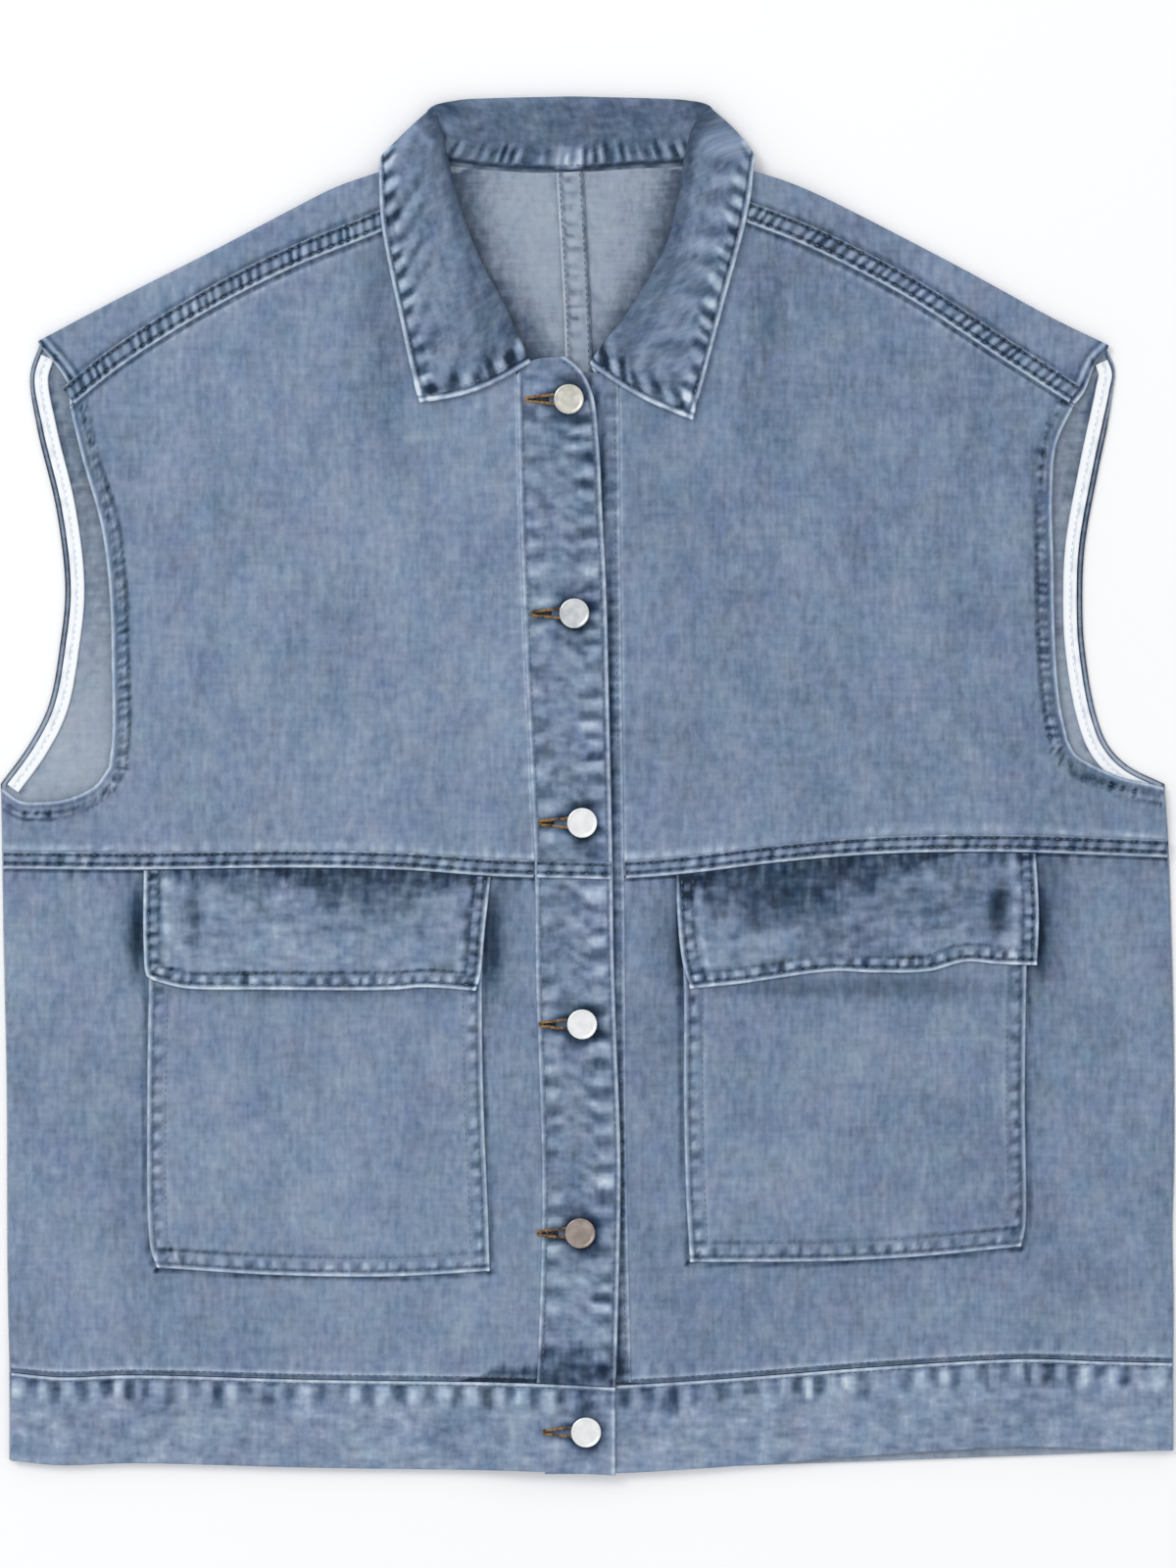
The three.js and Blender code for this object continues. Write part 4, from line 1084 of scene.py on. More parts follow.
@dataclass
class Cloth:
    """One cut piece of cloth as a closed shell on its net.

    Attributes:
        name: the piece's name, and its node's.
        nets: the grids through the middle of the cloth.
        thickness: in mm.
        floor: height of its underside in mm.
        details: gathers, worn edges, patches and painted shade.
        finishes: materials of the up side and of the underside.
        slot: a material slot's name, which is passed on to publish.
        shade: how much paler the whole piece is.
        flat: sides of the flat cut in mm, or none if they are the plan's own.
        lies_on: names of the pieces under it.
        edge: radius of its rounded free edge in mm.
        folded: more details, where it is folded over.
        inside: marks on the up side alone, where it isn't, mostly painted shade.
        holes: closed shapes that are cut out of it.
        obj: the built piece.
    """

    name: str
    nets: Sequence[Net]
    thickness: float
    floor: Height
    details: Sequence[Detail] = ()
    finishes: tuple[Finish, Finish] = (Finish.DENIM, Finish.INSIDE)
    slot: str = "denim"
    shade: float = 0.0
    flat: Optional[tuple[float, float]] = None
    lies_on: tuple[str, ...] = ()
    edge: float = 0.8
    folded: Sequence[Detail] = ()
    inside: Sequence[Detail] = ()
    holes: Sequence[bpy.types.Object] = ()
    obj: Optional[bpy.types.Object] = None

    def sample(self, x: Array, y: Array) -> tuple[Array, Array]:
        """Returns: height in mm and tone of all details at places in plan."""
        height, tone = np.zeros(np.shape(x)), np.full(np.shape(x), self.shade)
        for detail in self.details:
            more, shift = detail.sample(x, y)
            height += more
            tone += shift
        return height, tone

    def top(self, x: Array, y: Array) -> Array:
        """Returns: the height of the upper side at places in plan."""
        x, y = np.asarray(x, float), np.asarray(y, float)
        height, _ = self.sample(x.ravel(), y.ravel())
        return self.floor(x, y) + self.thickness + np.clip(height, 0.0, None).reshape(x.shape)

    def area(self) -> float:
        """Returns: the flat area of the cut in square metres."""
        total = 0.0
        for net in self.nets:
            p = net.points
            across = p[1:, 1:] - p[:-1, :-1]
            other = p[1:, :-1] - p[:-1, 1:]
            total += 0.5 * np.linalg.norm(np.cross(across, other), axis=-1).sum()
        return total * MM * MM

    def _sides(self, net: Net) -> tuple[Array, Array, Array, Array]:
        """Works out both sides of the shell.

        Args:
            net: the grid.

        Returns:
            Positions of the up side and of the underside in mm, then the tones of each.
        """
        points = net.points.reshape(-1, 3)
        normals = net.normals.reshape(-1, 3)
        borders = [border for each in self.nets for border in each.borders]
        gap = np.clip(edge_distance(points, borders) / self.edge, 0.0, 1.0)
        full = np.sqrt(1.0 - (1.0 - gap) ** 2)
        height, tone = self.sample(points[:, 0], points[:, 1])
        turned = self._turned(net)
        marks = np.zeros(len(points))
        for detail in self.folded if turned else self.inside:
            more, shift = detail.sample(points[:, 0], points[:, 1])
            height += more
            marks += shift
        height = height * full
        offset = normals * full[:, None] * self.thickness / 2
        resting = ramp(points[:, 2], 1.2, 2.5)
        upper, under = points + offset, points - offset
        upper[:, 2] += height * (resting if turned else 1.0)
        under[:, 2] += height * resting
        return upper, under, tone + marks, tone + marks * turned

    def _store(self, mesh: bpy.types.Mesh, tone: Array) -> None:
        """Stores what the finish reads from the mesh."""
        mesh.attributes.new("tone", "FLOAT", "POINT").data.foreach_set("value", tone)

    @staticmethod
    def _turned(net: Net) -> bool:
        """Returns: whether the net's up side faces down somewhere."""
        return bool((net.normals[..., 2] < 0).any())

    def build(self) -> "Cloth":
        """Returns: this cloth, its piece built and handed to the shared frame."""
        whole = bmesh.new()
        for net in self.nets:
            rows, columns = net.points.shape[:2]
            upper, under, *tones = self._sides(net)
            for index, (placed, tone) in enumerate(zip((upper, under), tones)):
                part = bmesh.new()
                bmesh.ops.create_grid(part, x_segments=columns - 1, y_segments=rows - 1, size=1.0)
                if index == 1:
                    bmesh.ops.reverse_faces(part, faces=part.faces)
                mesh = bpy.data.meshes.new("grid")
                part.to_mesh(mesh)
                part.free()
                mesh.vertices.foreach_set("co", (placed * MM).ravel())
                self._store(mesh, tone)
                mesh.polygons.foreach_set("material_index", np.full(len(mesh.polygons), index))
                whole.from_mesh(mesh)
                bpy.data.meshes.remove(mesh)
        bmesh.ops.remove_doubles(whole, verts=whole.verts, dist=0.008 * MM)
        bmesh.ops.recalc_face_normals(whole, faces=whole.faces)
        self.obj = smooth_object(whole, self.name, "_cloth")
        publish(self.obj, self.finishes, self.slot, self.name)
        cut_holes(self.obj, self.holes)
        return self

    def declare(self, *trims: bpy.types.Object) -> None:
        """Works out the sides and the area of the flat cut that the piece was made from, and keeps none of
        them.

        Args:
            trims: not used.
        """
        spans = np.vstack([net.points.reshape(-1, 3)[:, :2] for net in self.nets])
        width, length = self.flat or tuple(np.ptp(spans, axis=0))
        area = min(self.area(), width * length * MM * MM)
        list(self.lies_on)


def cut_holes(obj: bpy.types.Object, cutters: Sequence[bpy.types.Object]) -> None:
    """Cuts closed shapes out of a piece and removes them.

    Args:
        obj: the piece.
        cutters: the closed shapes.
    """
    for cutter in cutters:
        bpy.context.scene.collection.objects.link(cutter)
        modifier = obj.modifiers.new("hole", "BOOLEAN")
        modifier.operation = "DIFFERENCE"
        modifier.solver = "EXACT"
        modifier.object = cutter
    if not cutters:
        return
    evaluated = obj.evaluated_get(bpy.context.evaluated_depsgraph_get())
    mesh = bpy.data.meshes.new_from_object(evaluated)
    obj.modifiers.clear()
    obj.data = mesh
    for cutter in cutters:
        bpy.data.objects.remove(cutter)


def lifted(base: Cloth) -> Height:
    """Returns: the floor of what lies on a piece, a seam's gap above it."""
    return lambda x, y: base.top(x, y) + SEAM_GAP


def strip_net(line: Line, near: float, far: float, floor: Height, thickness: float, step: float = 1.4) -> Net:
    """Returns: the net of a strip between two distances in mm to the left of a line, far the larger."""
    quad = between(line.beside(near), line.beside(far))
    return quad.net(floor, thickness, spread(line.length, step), spread(far - near, step))


def bead(bm: bmesh.types.BMesh, middle: Sequence[float], turn: Matrix, radii: Sequence[float]) -> None:
    """Adds one stitch, a small ball of thread stretched to three radii in mm and turned."""
    matrix = Matrix.Translation(Vector(middle) * MM) @ turn @ Matrix.Diagonal((*(r * MM for r in radii), 1))
    bmesh.ops.create_icosphere(bm, subdivisions=1, radius=1.0, matrix=matrix)


@dataclass
class Sewing:
    """Rows of stitches, each stitch a small bead of thread pressed into the cloth.

    Attributes:
        name: the piece's name.
        finish: the thread.
        length: of a stitch in mm.
        gap: between two stitches in mm.
        width: of the thread in mm.
        paths: the rows, as places in mm.
    """

    name: str
    finish: Finish = Finish.THREAD
    length: float = 2.5
    gap: float = 0.7
    width: float = 0.55
    paths: list[Array] = field(default_factory=list)

    def along(self, line: Line, offset: float, base: Cloth) -> None:
        """Adds a row beside a line on a piece's upper side.

        Args:
            line: the line.
            offset: how far to its left in mm.
            base: the piece that is sewn.
        """
        side = line.beside(offset) if offset else line
        plan = side.at(np.linspace(0.0, 1.0, max(8, int(side.length / 1.5))))
        z = base.floor(plan[:, 0], plan[:, 1]) + base.thickness + base.sample(plan[:, 0], plan[:, 1])[0]
        self.paths.append(np.column_stack([plan, z]))

    def build(self) -> bpy.types.Object:
        """Returns: all the rows as one piece."""
        bm = bmesh.new()
        for path in self.paths:
            run = Line.of(path)
            total = run.length
            count = max(1, int(total / (self.length + self.gap)))
            middles = (np.arange(count) + 0.5) / count
            half = 0.5 * self.length / total
            part = bmesh.new()
            for a, b in zip(run.at(middles - half), run.at(middles + half)):
                way = Vector(b - a)
                turn = way.to_track_quat("X", "Z").to_matrix().to_4x4()
                bead(part, (a + b) / 2, turn, (way.length / 2, self.width / 2, self.width * 0.35))
            mesh = bpy.data.meshes.new("row")
            part.to_mesh(mesh)
            part.free()
            bm.from_mesh(mesh)
            bpy.data.meshes.remove(mesh)
        obj = smooth_object(bm, self.name)
        publish(obj, (self.finish,), "thread", None)
        return obj


@dataclass
class Back:
    """The two halves of the back, folded over the shoulders, with their fell, tapes and hem band.

    Attributes:
        step: usual spacing of the grids in mm.
        fold_rows: rows round the shoulder fold.
        halves: the two halves.
        fell: the felled centre seam.
        tapes: the armhole tapes.
        hem: the hem band.
    """

    step: float = 4.0
    fold_rows: int = 10
    halves: dict[Side, Cloth] = field(default_factory=dict)
    fell: Optional[Cloth] = None
    tapes: dict[Side, Cloth] = field(default_factory=dict)
    hem: Optional[Cloth] = None

    def _half(self, side: Side) -> Cloth:
        """Returns: one half of the back, from the hem over the shoulder to the front seam."""
        edges = EDGES[side]
        gap = side.outward * HALF_GAP
        outer_run = edges["shoulder"].at(np.linspace(0, 1, 121))
        run = np.gradient(outer_run, axis=0)
        run /= np.linalg.norm(run, axis=1)[:, None]
        out = np.stack([-run[:, 1], run[:, 0]], axis=-1)
        out *= np.sign(out[:, 1:])
        fold = Line.of(outer_run - out * (FRONT_CLEARANCE + PLY) / 2)
        out_line = Line(out, fold.shares)
        neck = edges["back_neck"].pinned(start=fold.points[-1])
        top = Line.joined([fold, neck], [FOLD_SHARE, 1.0])
        centre = CENTRE_BACK.moved(gap)
        spine = [BACK_HEM["centre"][1] + HALF_GAP, UNDERARM_LEVEL, BLADE_LEVEL, neck.points[-1][1]]
        outer = [
            edges["back_side"],
            edges["back_armhole"].part(1, UNDERARM_LEVEL, ARMHOLE_BEND_LEVEL),
            edges["back_armhole"].part(1, ARMHOLE_BEND_LEVEL, edges["cap_edge"].points[0][1]),
        ]
        outer[0] = outer[0].pinned(start=edges["back_side"].points[0] + [0, HALF_GAP])
        outer[2] = outer[2].pinned(end=fold.points[0])
        inner = [centre.part(1, low, high) for low, high in zip(spine, spine[1:])]
        inner[2] = inner[2].pinned(end=neck.points[-1])
        levels = [straight(outer[i].points[0], inner[i].points[0]) for i in range(3)] + [top]
        fold_columns = spread(fold.length, self.step, (True, False))
        fine = np.arange(1, 14) * 0.8 / fold.length
        apart = np.abs(fold_columns[None] - fine[:, None]).min(axis=1) > 0.25 / fold.length
        fold_columns = np.sort(np.concatenate([fold_columns, fine[apart]]))
        neck_columns = spread(neck.length, self.step, (False, True))[1:]
        columns = np.concatenate([fold_columns * FOLD_SHARE, FOLD_SHARE + neck_columns * (1 - FOLD_SHARE)])
        nets = []
        for i in range(3):
            low, high = levels[i], levels[i + 1]
            start = outer[i].pinned(start=low.points[0], end=high.points[0])
            end = inner[i].pinned(start=low.points[-1], end=high.points[-1])
            rows = spread(0.5 * (start.length + end.length), self.step, (i == 0, i == 2))
            free = [("start", 0, 1), ("end", 0, 1)]
            if i == 0:
                free.append(("first", 0, 1))
            if i == 2:
                free.append(("second", FOLD_SHARE, 1))
            quad = Quad(low, high, start, end, tuple(free))
            nets.append(quad.net(Ground.back, PLY, columns, rows).facing(side))
        nets.append(self._arc(side, fold, out_line, fold_columns))
        nets.append(self._cap(side, fold, fold_columns))
        both, folded, inside = self._half_details(side)
        return Cloth(f"back_{side.value}", nets, PLY, Ground.back, both,
                     INSIDE_OUT, "denim_inside", 0.0, folded=folded, inside=inside,
                     flat=(306, 660), lies_on=("floor",))

    def _arc(self, side: Side, fold: Line, out: Line, columns: Array) -> Net:
        """Returns: the net round the shoulder fold."""
        start, way = fold.at(columns), out.at(columns)
        under = Ground.back(start[:, 0], start[:, 1]) + PLY / 2
        over = Ground.of(side)(start[:, 0], start[:, 1]) + PLY / 2
        radius = (over - under) / 2
        angles = np.linspace(0.0, math.pi, self.fold_rows + 1)[:, None]
        plan = start[None] + way[None] * (radius * np.sin(angles))[..., None]
        z = under + radius * (1 - np.cos(angles))
        points = np.concatenate([plan, z[..., None]], axis=-1)
        normals = np.concatenate([-way[None] * np.sin(angles)[..., None],
                                  np.broadcast_to(np.cos(angles), z.shape)[..., None]], axis=-1)
        borders = (points[:, 0], points[:, -1])
        if side is Side.LEFT:
            points, normals = points[:, ::-1], normals[:, ::-1]
        return Net(points, normals, borders)

    def _cap(self, side: Side, fold: Line, columns: Array) -> Net:
        """Returns: the net from the fold to the shoulder seam, its outside up."""
        edges = EDGES[side]
        seam = edges["shoulder_seam"].moved(0, HALF_GAP)
        start = edges["cap_edge"].pinned(fold.points[0], seam.points[0])
        end = edges["cap_neck"].pinned(fold.points[-1], seam.points[-1])
        rows = spread(0.5 * (start.length + end.length), 1.6, (False, True))
        free = (("second", 0, 1), ("start", 0, 1), ("end", 0, 1))
        net = Quad(fold, seam, start, end, free).net(Ground.of(side), PLY, columns, rows).facing(side)
        return Net(net.points, -net.normals, net.borders)

    @staticmethod
    def _half_details(side: Side) -> tuple[list[Detail], list[Detail], list[Detail]]:
        """Returns: details of both sides, of the folded cap alone and of the inside alone."""
        edges = EDGES[side]
        seam = rightward(edges["shoulder_seam"])
        armhole = upward(edges["back_armhole"])
        into = -side.outward
        fold = rightward(edges["shoulder"])
        cap = edges["cap_edge"]
        folded = [
            Pucker(seam, SHOULDER_FELL_WIDTH - 1.5, 22, 6.5, 0.14, 0.15, seed=31),
            Band(seam, SHOULDER_FELL_WIDTH + 0.4, 1.0, -0.35),
            # Pale worn ridges along the cap's folded edge, with painted shade of the fold between them
            Band(cap, -side.outward * 1.0, 1.0, 0.8, 0.15, rise=0.3),
            Band(cap, -side.outward * 3.2, 0.9, -0.6),
            Band(cap, -side.outward * 5.4, 1.0, 0.5, rise=0.2),
            Band(cap, -side.outward * 7.6, 1.1, -0.4),
        ]
        both = [
            Pucker(fold, 0, -8, 9.0, 0.1, 0.12, seed=33),
            Band(armhole, -into * 0.3, 0.6, -0.9, 0.1),
            Band(armhole, -into * 1.5, 0.6, 0.1, 0.2),
            Band(armhole, -into * 2.7, 0.6, -0.8, 0.2),
            Band(armhole, -into * 10.6, 0.7, -0.45, 0.3),
            Pucker(armhole, 9, -into * 20, 7.0, 0.15, 0.14, seed=35),
            Pucker(CENTRE_BACK, CENTRE_FELL_HALF - 1, into * 14, 6.0, 0.12, 0.12, seed=36),
        ]
        inside = [
            # Painted shadow of the collar's roll, painted shade inside the armhole that is darker above and
            # paler near its foot, and a paler patch by the neck
            Band(ROLL_SHADE[side], 0, 12, -0.55, 0.1),
            Patch(256 * side.outward, 150, 22, 70, -0.3),
            Patch(274 * side.outward, 15, 30, 30, 0.3),
            Patch(-18, 268, 40, 50, 0.12),
        ]
        return both, folded, inside

    def build(self) -> None:
        """Builds the halves and what is sewn to them."""
        for side in Side:
            self.halves[side] = self._half(side).build()
        self._build_fell()
        for side in Side:
            self._build_tape(side)
        self._build_hem()

    def _build_fell(self) -> None:
        """Builds the felled centre seam."""
        line = CENTRE_BACK.part(1, -303.5, 313.2).turned()
        floor = lambda x, y: Ground.back(x, y) + PLY + SEAM_GAP + 0.1
        details = [
            Pucker(line, -3, 6, 6.5, 0.2, 0.5, seed=41),
            Band(line, -CENTRE_FELL_HALF + 0.8, 0.8, 0.5),
            *grooves(line, -CENTRE_FELL_HALF + 2.6, tone=-0.35),
            Band(line, CENTRE_FELL_HALF - 0.8, 0.7, -0.6),
        ]
        net = strip_net(line, -CENTRE_FELL_HALF, CENTRE_FELL_HALF, floor, PLY, 2.0)
        self.fell = Cloth("centre_back_fell", [net], PLY, floor, details, (Finish.INSIDE, Finish.INSIDE),
                          "denim_inside", 0.04, flat=(2 * CENTRE_FELL_HALF, line.length),
                          lies_on=("back_right", "back_left")).build()

    def _build_tape(self, side: Side) -> None:
        """Builds the tape that binds one armhole."""
        line = EDGES[side]["back_armhole"].stretch(*TAPE_RUN, 200)
        turn = side.outward
        if side is Side.RIGHT:
            line, turn = line.turned(), 1
        floor = lambda x, y: Ground.back(x, y) + PLY + SEAM_GAP
        near, far = (TAPE_INSET, TAPE_INSET + TAPE_WIDTH)
        net = strip_net(line, turn * near, turn * far, floor, TAPE_PLY, 0.7)
        details = [
            # Painted shade along the tape's fold and at both its edges
            Band(line, turn * (near + 2.6), 0.6, -1.0, 0.3),
            Band(line, turn * near, 1.6, -0.6, 0.1),
            Band(line, turn * far, 1.0, -0.9, 0.1),
            Pucker(line, 0, turn * 9, 13.0, 0.12, 0.3, bias=-0.1, seed=47),
        ]
        self.tapes[side] = Cloth(f"armhole_tape_{side.value}", [net], TAPE_PLY, floor, details,
                                 (Finish.TAPE, Finish.TAPE), "tape", 0.5,
                                 flat=(TAPE_WIDTH + 0.5, line.length), lies_on=(f"back_{side.value}",),
                                 edge=0.5).build()

    def _build_hem(self) -> None:
        """Builds the hem band of the back."""
        right, centre, left = (np.array(BACK_HEM[key], float) for key in ("right", "centre", "left"))
        seam = Line.joined([straight(right, centre), straight(centre, left)], [0.5, 1.0]).moved(0, -HALF_GAP)
        quad = between(seam.moved(0, -HEM_WIDTH), seam)
        net = quad.net(Ground.back, TWO_PLY, spread(seam.length, 4.0), spread(HEM_WIDTH, 3.0))
        details = [Pucker(seam, 0, -15, 7.0, 0.2, 0.3, seed=45)]
        self.hem = Cloth("hem_band_back", [net], TWO_PLY, Ground.back, details, INSIDE_OUT,
                         "denim_inside", 0.0, lies_on=("floor",), edge=1.0).build()

    def dress(self) -> None:
        """Sews the centre seam and the tapes."""
        sewing = Sewing("stitches_back")
        line = CENTRE_BACK.part(1, -303, 313)
        for offset in (-CENTRE_FELL_HALF + 1.8, CENTRE_FELL_HALF - 1.8):
            sewing.along(line, offset, self.fell)
        seams = sewing.build()
        pale = Sewing("stitches_tape", Finish.TAPE_THREAD, length=2.2, gap=1.2, width=0.45)
        for side, tape in self.tapes.items():
            line = EDGES[side]["back_armhole"].stretch(*TAPE_RUN, 150)
            pale.along(line, side.outward * (TAPE_INSET + TAPE_WIDTH / 2), tape)
        threads = pale.build()
        self.halves[Side.RIGHT].declare(self.tapes[Side.RIGHT].obj, self.fell.obj, seams)
        self.halves[Side.LEFT].declare(self.tapes[Side.LEFT].obj, threads)
        self.hem.declare()


@dataclass
class Front:
    """One front: its upper and lower panels, its waist and shoulder fells, its pocket and flap.

    Attributes:
        side: which front.
        step: usual spacing of the grids in mm.
        shade: how much paler the whole front is.
        stain: middle, half length and reach in mm of the unwashed cloth at the top of its flap.
        rubs: patches on the flap, from its middle: x, y, half sizes and tone.
    """

    side: Side
    step: float = 2.1
    shade: float = 0.0
    stain: tuple[float, float, float] = (0.0, 0.0, 0.0)
    rubs: tuple[tuple[float, ...], ...] = ()
    upper: Optional[Cloth] = None
    lower: Optional[Cloth] = None
    waist: Optional[Cloth] = None
    shoulder: Optional[Cloth] = None
    pocket: Optional[Cloth] = None
    flap: Optional[Cloth] = None

    @property
    def floor(self) -> Height:
        """Returns: the floor that this front lies on."""
        return Ground.of(self.side)

    @property
    def edges(self) -> dict[str, Line]:
        """Returns: the lines that its pieces are cut to."""
        return EDGES[self.side]

    @property
    def out(self) -> int:
        """Returns: the sign of X towards the armhole."""
        return self.side.outward

    def _name(self, part: str) -> str:
        """Returns: a part's name with its side."""
        return f"{part}_{self.side.value}"

    def _placket_side(self, low: float, high: float) -> Line:
        """Returns: the line where this front meets its placket."""
        right = self.side is Side.RIGHT
        line = PLACKET_LINE if right else UNDER_SEAM
        return line.part(1, low, high).moved(SEAM_LAP if right else -SEAM_LAP)

    def _chest(self, end: float) -> Line:
        """Returns: the waist seam from the side as far as a place in x."""
        seam = self.edges["chest_seam"]
        return seam.part(0, seam.points[0][0], end)

    def _build_upper(self) -> None:
        """Builds the upper panel, cut round the armhole and the neck."""
        edges = self.edges
        foot = edges["armhole_foot"]
        corner = foot.points[-1]
        low = self._placket_side(WAIST_END[self.side][0], corner[1])
        high = self._placket_side(corner[1], NECK_LEVEL)
        waist = self._chest(low.points[0][0]).moved(0, HALF_GAP)
        low = low.pinned(start=waist.points[-1], end=high.points[0])
        underarm = edges["underarm"].pinned(start=waist.points[0], end=foot.points[0])
        across = straight(corner, high.points[0])
        foot_columns = spread(foot.length, self.step, (True, False))
        across_columns = spread(across.length, self.step)
        rest = FOOT_SHARE + across_columns[1:] * (1 - FOOT_SHARE)
        columns = np.concatenate([foot_columns * FOOT_SHARE, rest])
        shoulder = edges["shoulder_seam"].moved(0, -HALF_GAP)
        neck = edges["front_neck"].pinned(start=high.points[-1], end=shoulder.points[-1])
        armhole = edges["armhole"].pinned(start=corner, end=shoulder.points[0])
        inner = Line.joined([high, neck], [NECK_SHARE, 1.0])
        lower = Quad(waist, Line.joined([foot, across], [FOOT_SHARE, 1.0]), underarm, low,
                     (("first", 0, 1), ("start", 0, 1), ("end", 0, 1), ("second", 0, FOOT_SHARE)))
        upper = Quad(across, shoulder, armhole, inner, (("second", 0, 1), ("start", 0, 1), ("end", 0, 1)))
        rows = (spread(underarm.length, self.step), spread(armhole.length, self.step, (False, True)))
        nets = [lower.net(self.floor, PLY, columns, rows[0]).facing(self.side),
                upper.net(self.floor, PLY, across_columns, rows[1]).facing(self.side)]
        into = -self.out
        hole = upward(Line.joined([foot, armhole], [HOLE_SHARE, 1.0])).stretch(0, 1, 400)
        seam, slope = rightward(edges["chest_seam"]), rightward(edges["shoulder_seam"])
        placket = PLACKET_LINE if self.side is Side.RIGHT else UNDER_SEAM
        details = [
            Pucker(hole, 4.6, -into * 10.5, 5.8, 0.18, 0.58, bias=-0.06, seed=11),
            Band(hole, -into * 0.9, 0.75, 0.62, 0.15),
            Band(hole, -into * 2.6, 0.9, -0.3),
            *grooves(hole, *(self.out * row for row in ARMHOLE_ROWS), tone=-0.6),
            Pucker(slope, 0.6, -9, 5.0, 0.14, 0.16, seed=12),
            # Painted shadow under the shoulder fell's lower edge
            Band(slope, -2.0, 0.9, -0.5),
            Band(slope, -3.6, 0.8, 0.25),
            Pucker(seam, FELL_WIDTH - 1, 17, 7.0, 0.12, 0.16, bias=0.05, seed=13),
            Band(seam, FELL_WIDTH + 0.9, 1.5, 0.42),
            Pucker(placket, 0.4, into * 9, 9.0, 0.1, 0.14, seed=14),
            Band(placket, into * 0.7, 0.7, 0.35),
            # Painted shadow along the collar's outer edge
            Patch(98 * self.out - 8, 232, 12, 55, -0.25),
        ]
        self.upper = Cloth(self._name("front_upper"), nets, PLY, self.floor, details, shade=self.shade,
                           lies_on=(self._name("back"),), edge=0.4).build()

    def _build_lower(self) -> None:
        """Builds the lower panel, from the waist to the hem band."""
        edges = self.edges
        inner = self._placket_side(HEM_LEVEL, WAIST_END[self.side][1])
        hem = edges["hem_seam"].part(0, edges["hem_seam"].points[0][0], inner.points[0][0]).moved(0, HALF_GAP)
        waist = self._chest(inner.points[-1][0]).moved(0, -HALF_GAP)
        inner = inner.pinned(hem.points[-1], waist.points[-1])
        outer = edges["front_side"].pinned(hem.points[0], waist.points[0])
        columns, rows = spread(hem.length, self.step), spread(inner.length, self.step)
        net = Quad(hem, waist, outer, inner).net(self.floor, PLY, columns, rows).facing(self.side)
        seam, foot = rightward(edges["chest_seam"]), rightward(edges["hem_seam"])
        out = self.out
        middle = POCKET_MIDDLE * out
        details = [
            Pucker(seam, 0.5, -11, 7.5, 0.14, 0.24, bias=-0.05, seed=15),
            # Painted shadow under the waist fell's lower edge
            Band(seam, -1.6, 0.8, -0.55),
            Band(foot, 3.4, 0.8, 0.55, rise=0.1),
            Band(foot, 1.4, 0.8, -0.5),
            Pucker(foot, 4, 13, 9.0, 0.12, 0.16, bias=0.04, seed=16),
            Band(upward(edges["pocket_outer"]), -out * 1.1, 1.1, -0.5),
            Band(upward(edges["pocket_inner"]), out * 1.1, 1.1, -0.5),
            Band(rightward(edges["pocket_bottom"]), -1.1, 1.1, -0.55),
            # Painted shadows beside the flap's two sides, narrow and dark, then broad and soft
            Patch(middle + 93 * out, -74, 4.2, 24, -0.95),
            Patch(middle - 88.5 * out, -80, 4.2, 24, -0.85),
            Patch(middle + 99 * out, -66, 10, 44, -0.2),
            Patch(middle - 96 * out, -72, 10, 44, -0.2),
            Stain(foot, foot.length - 40 if out < 0 else 8, 30, 9, -0.85, 18),
        ]
        self.lower = Cloth(self._name("front_lower"), [net], PLY, self.floor, details, shade=self.shade,
                           lies_on=(self._name("back"),), edge=0.4).build()

    @staticmethod
    def _fell_details(seam: Line, width: float, strength: float, pitch: float, seed: int) -> list[Detail]:
        """Returns: the gathers, worn edges and painted shade in the stitched grooves of a felled seam."""
        low, high = -FELL_OVERHANG, width - FELL_OVERHANG
        return [
            Pucker(seam, low + 1.5, width + 4, pitch, 0.12 + 0.2 * strength, 0.3 + 0.42 * strength,
                   bias=0.06 - 0.16 * strength, slant=0.3, seed=seed),
            Band(seam, low + 0.9, 0.75, 0.62, 0.2),
            Band(seam, high - 0.3, 0.5, 0.3),
            *grooves(seam, low + FELL_ROW, high - FELL_TOP_ROW, tone=-0.75),
            Band(seam, high - FELL_TOP_ROW, 1.5, -0.25),
            Band(seam, low + 2.8, 1.3, -0.2),
        ]

    def _slope(self) -> Line:
        """Returns: the shoulder seam towards +X, from just inside the armhole's edge."""
        return rightward(Line.of(self.edges["shoulder_seam"].points).stretch(0.016, 1, 200))

    def _build_fells(self) -> None:
        """Builds the felled seams at the waist and over the shoulder."""
        seam = rightward(self._chest(WAIST_END[self.side][2]))
        floor = lifted(self.upper)
        net = strip_net(seam, -FELL_OVERHANG, FELL_WIDTH - FELL_OVERHANG, floor, PLY)
        details = self._fell_details(seam, FELL_WIDTH, 0.15, 7.5, 21)
        self.waist = Cloth(self._name("waist_fell"), [net], PLY, floor, details, WORN_OUT,
                           shade=self.shade + 0.04, flat=(seam.length, FELL_WIDTH),
                           lies_on=(self._name("front_upper"), self._name("front_lower"))).build()
        slope = self._slope()
        floor = lambda x, y: self.floor(x, y) + PLY + SEAM_GAP + 0.15
        net = strip_net(slope, -FELL_OVERHANG, SHOULDER_FELL_WIDTH - FELL_OVERHANG, floor, PLY, 1.2)
        self.shoulder = Cloth(self._name("shoulder_fell"), [net], PLY, floor,
                              self._fell_details(slope, SHOULDER_FELL_WIDTH, 1.0, 4.8, 22), shade=0.0,
                              flat=(slope.length, SHOULDER_FELL_WIDTH),
                              lies_on=(self._name("back"), self._name("front_upper"))).build()

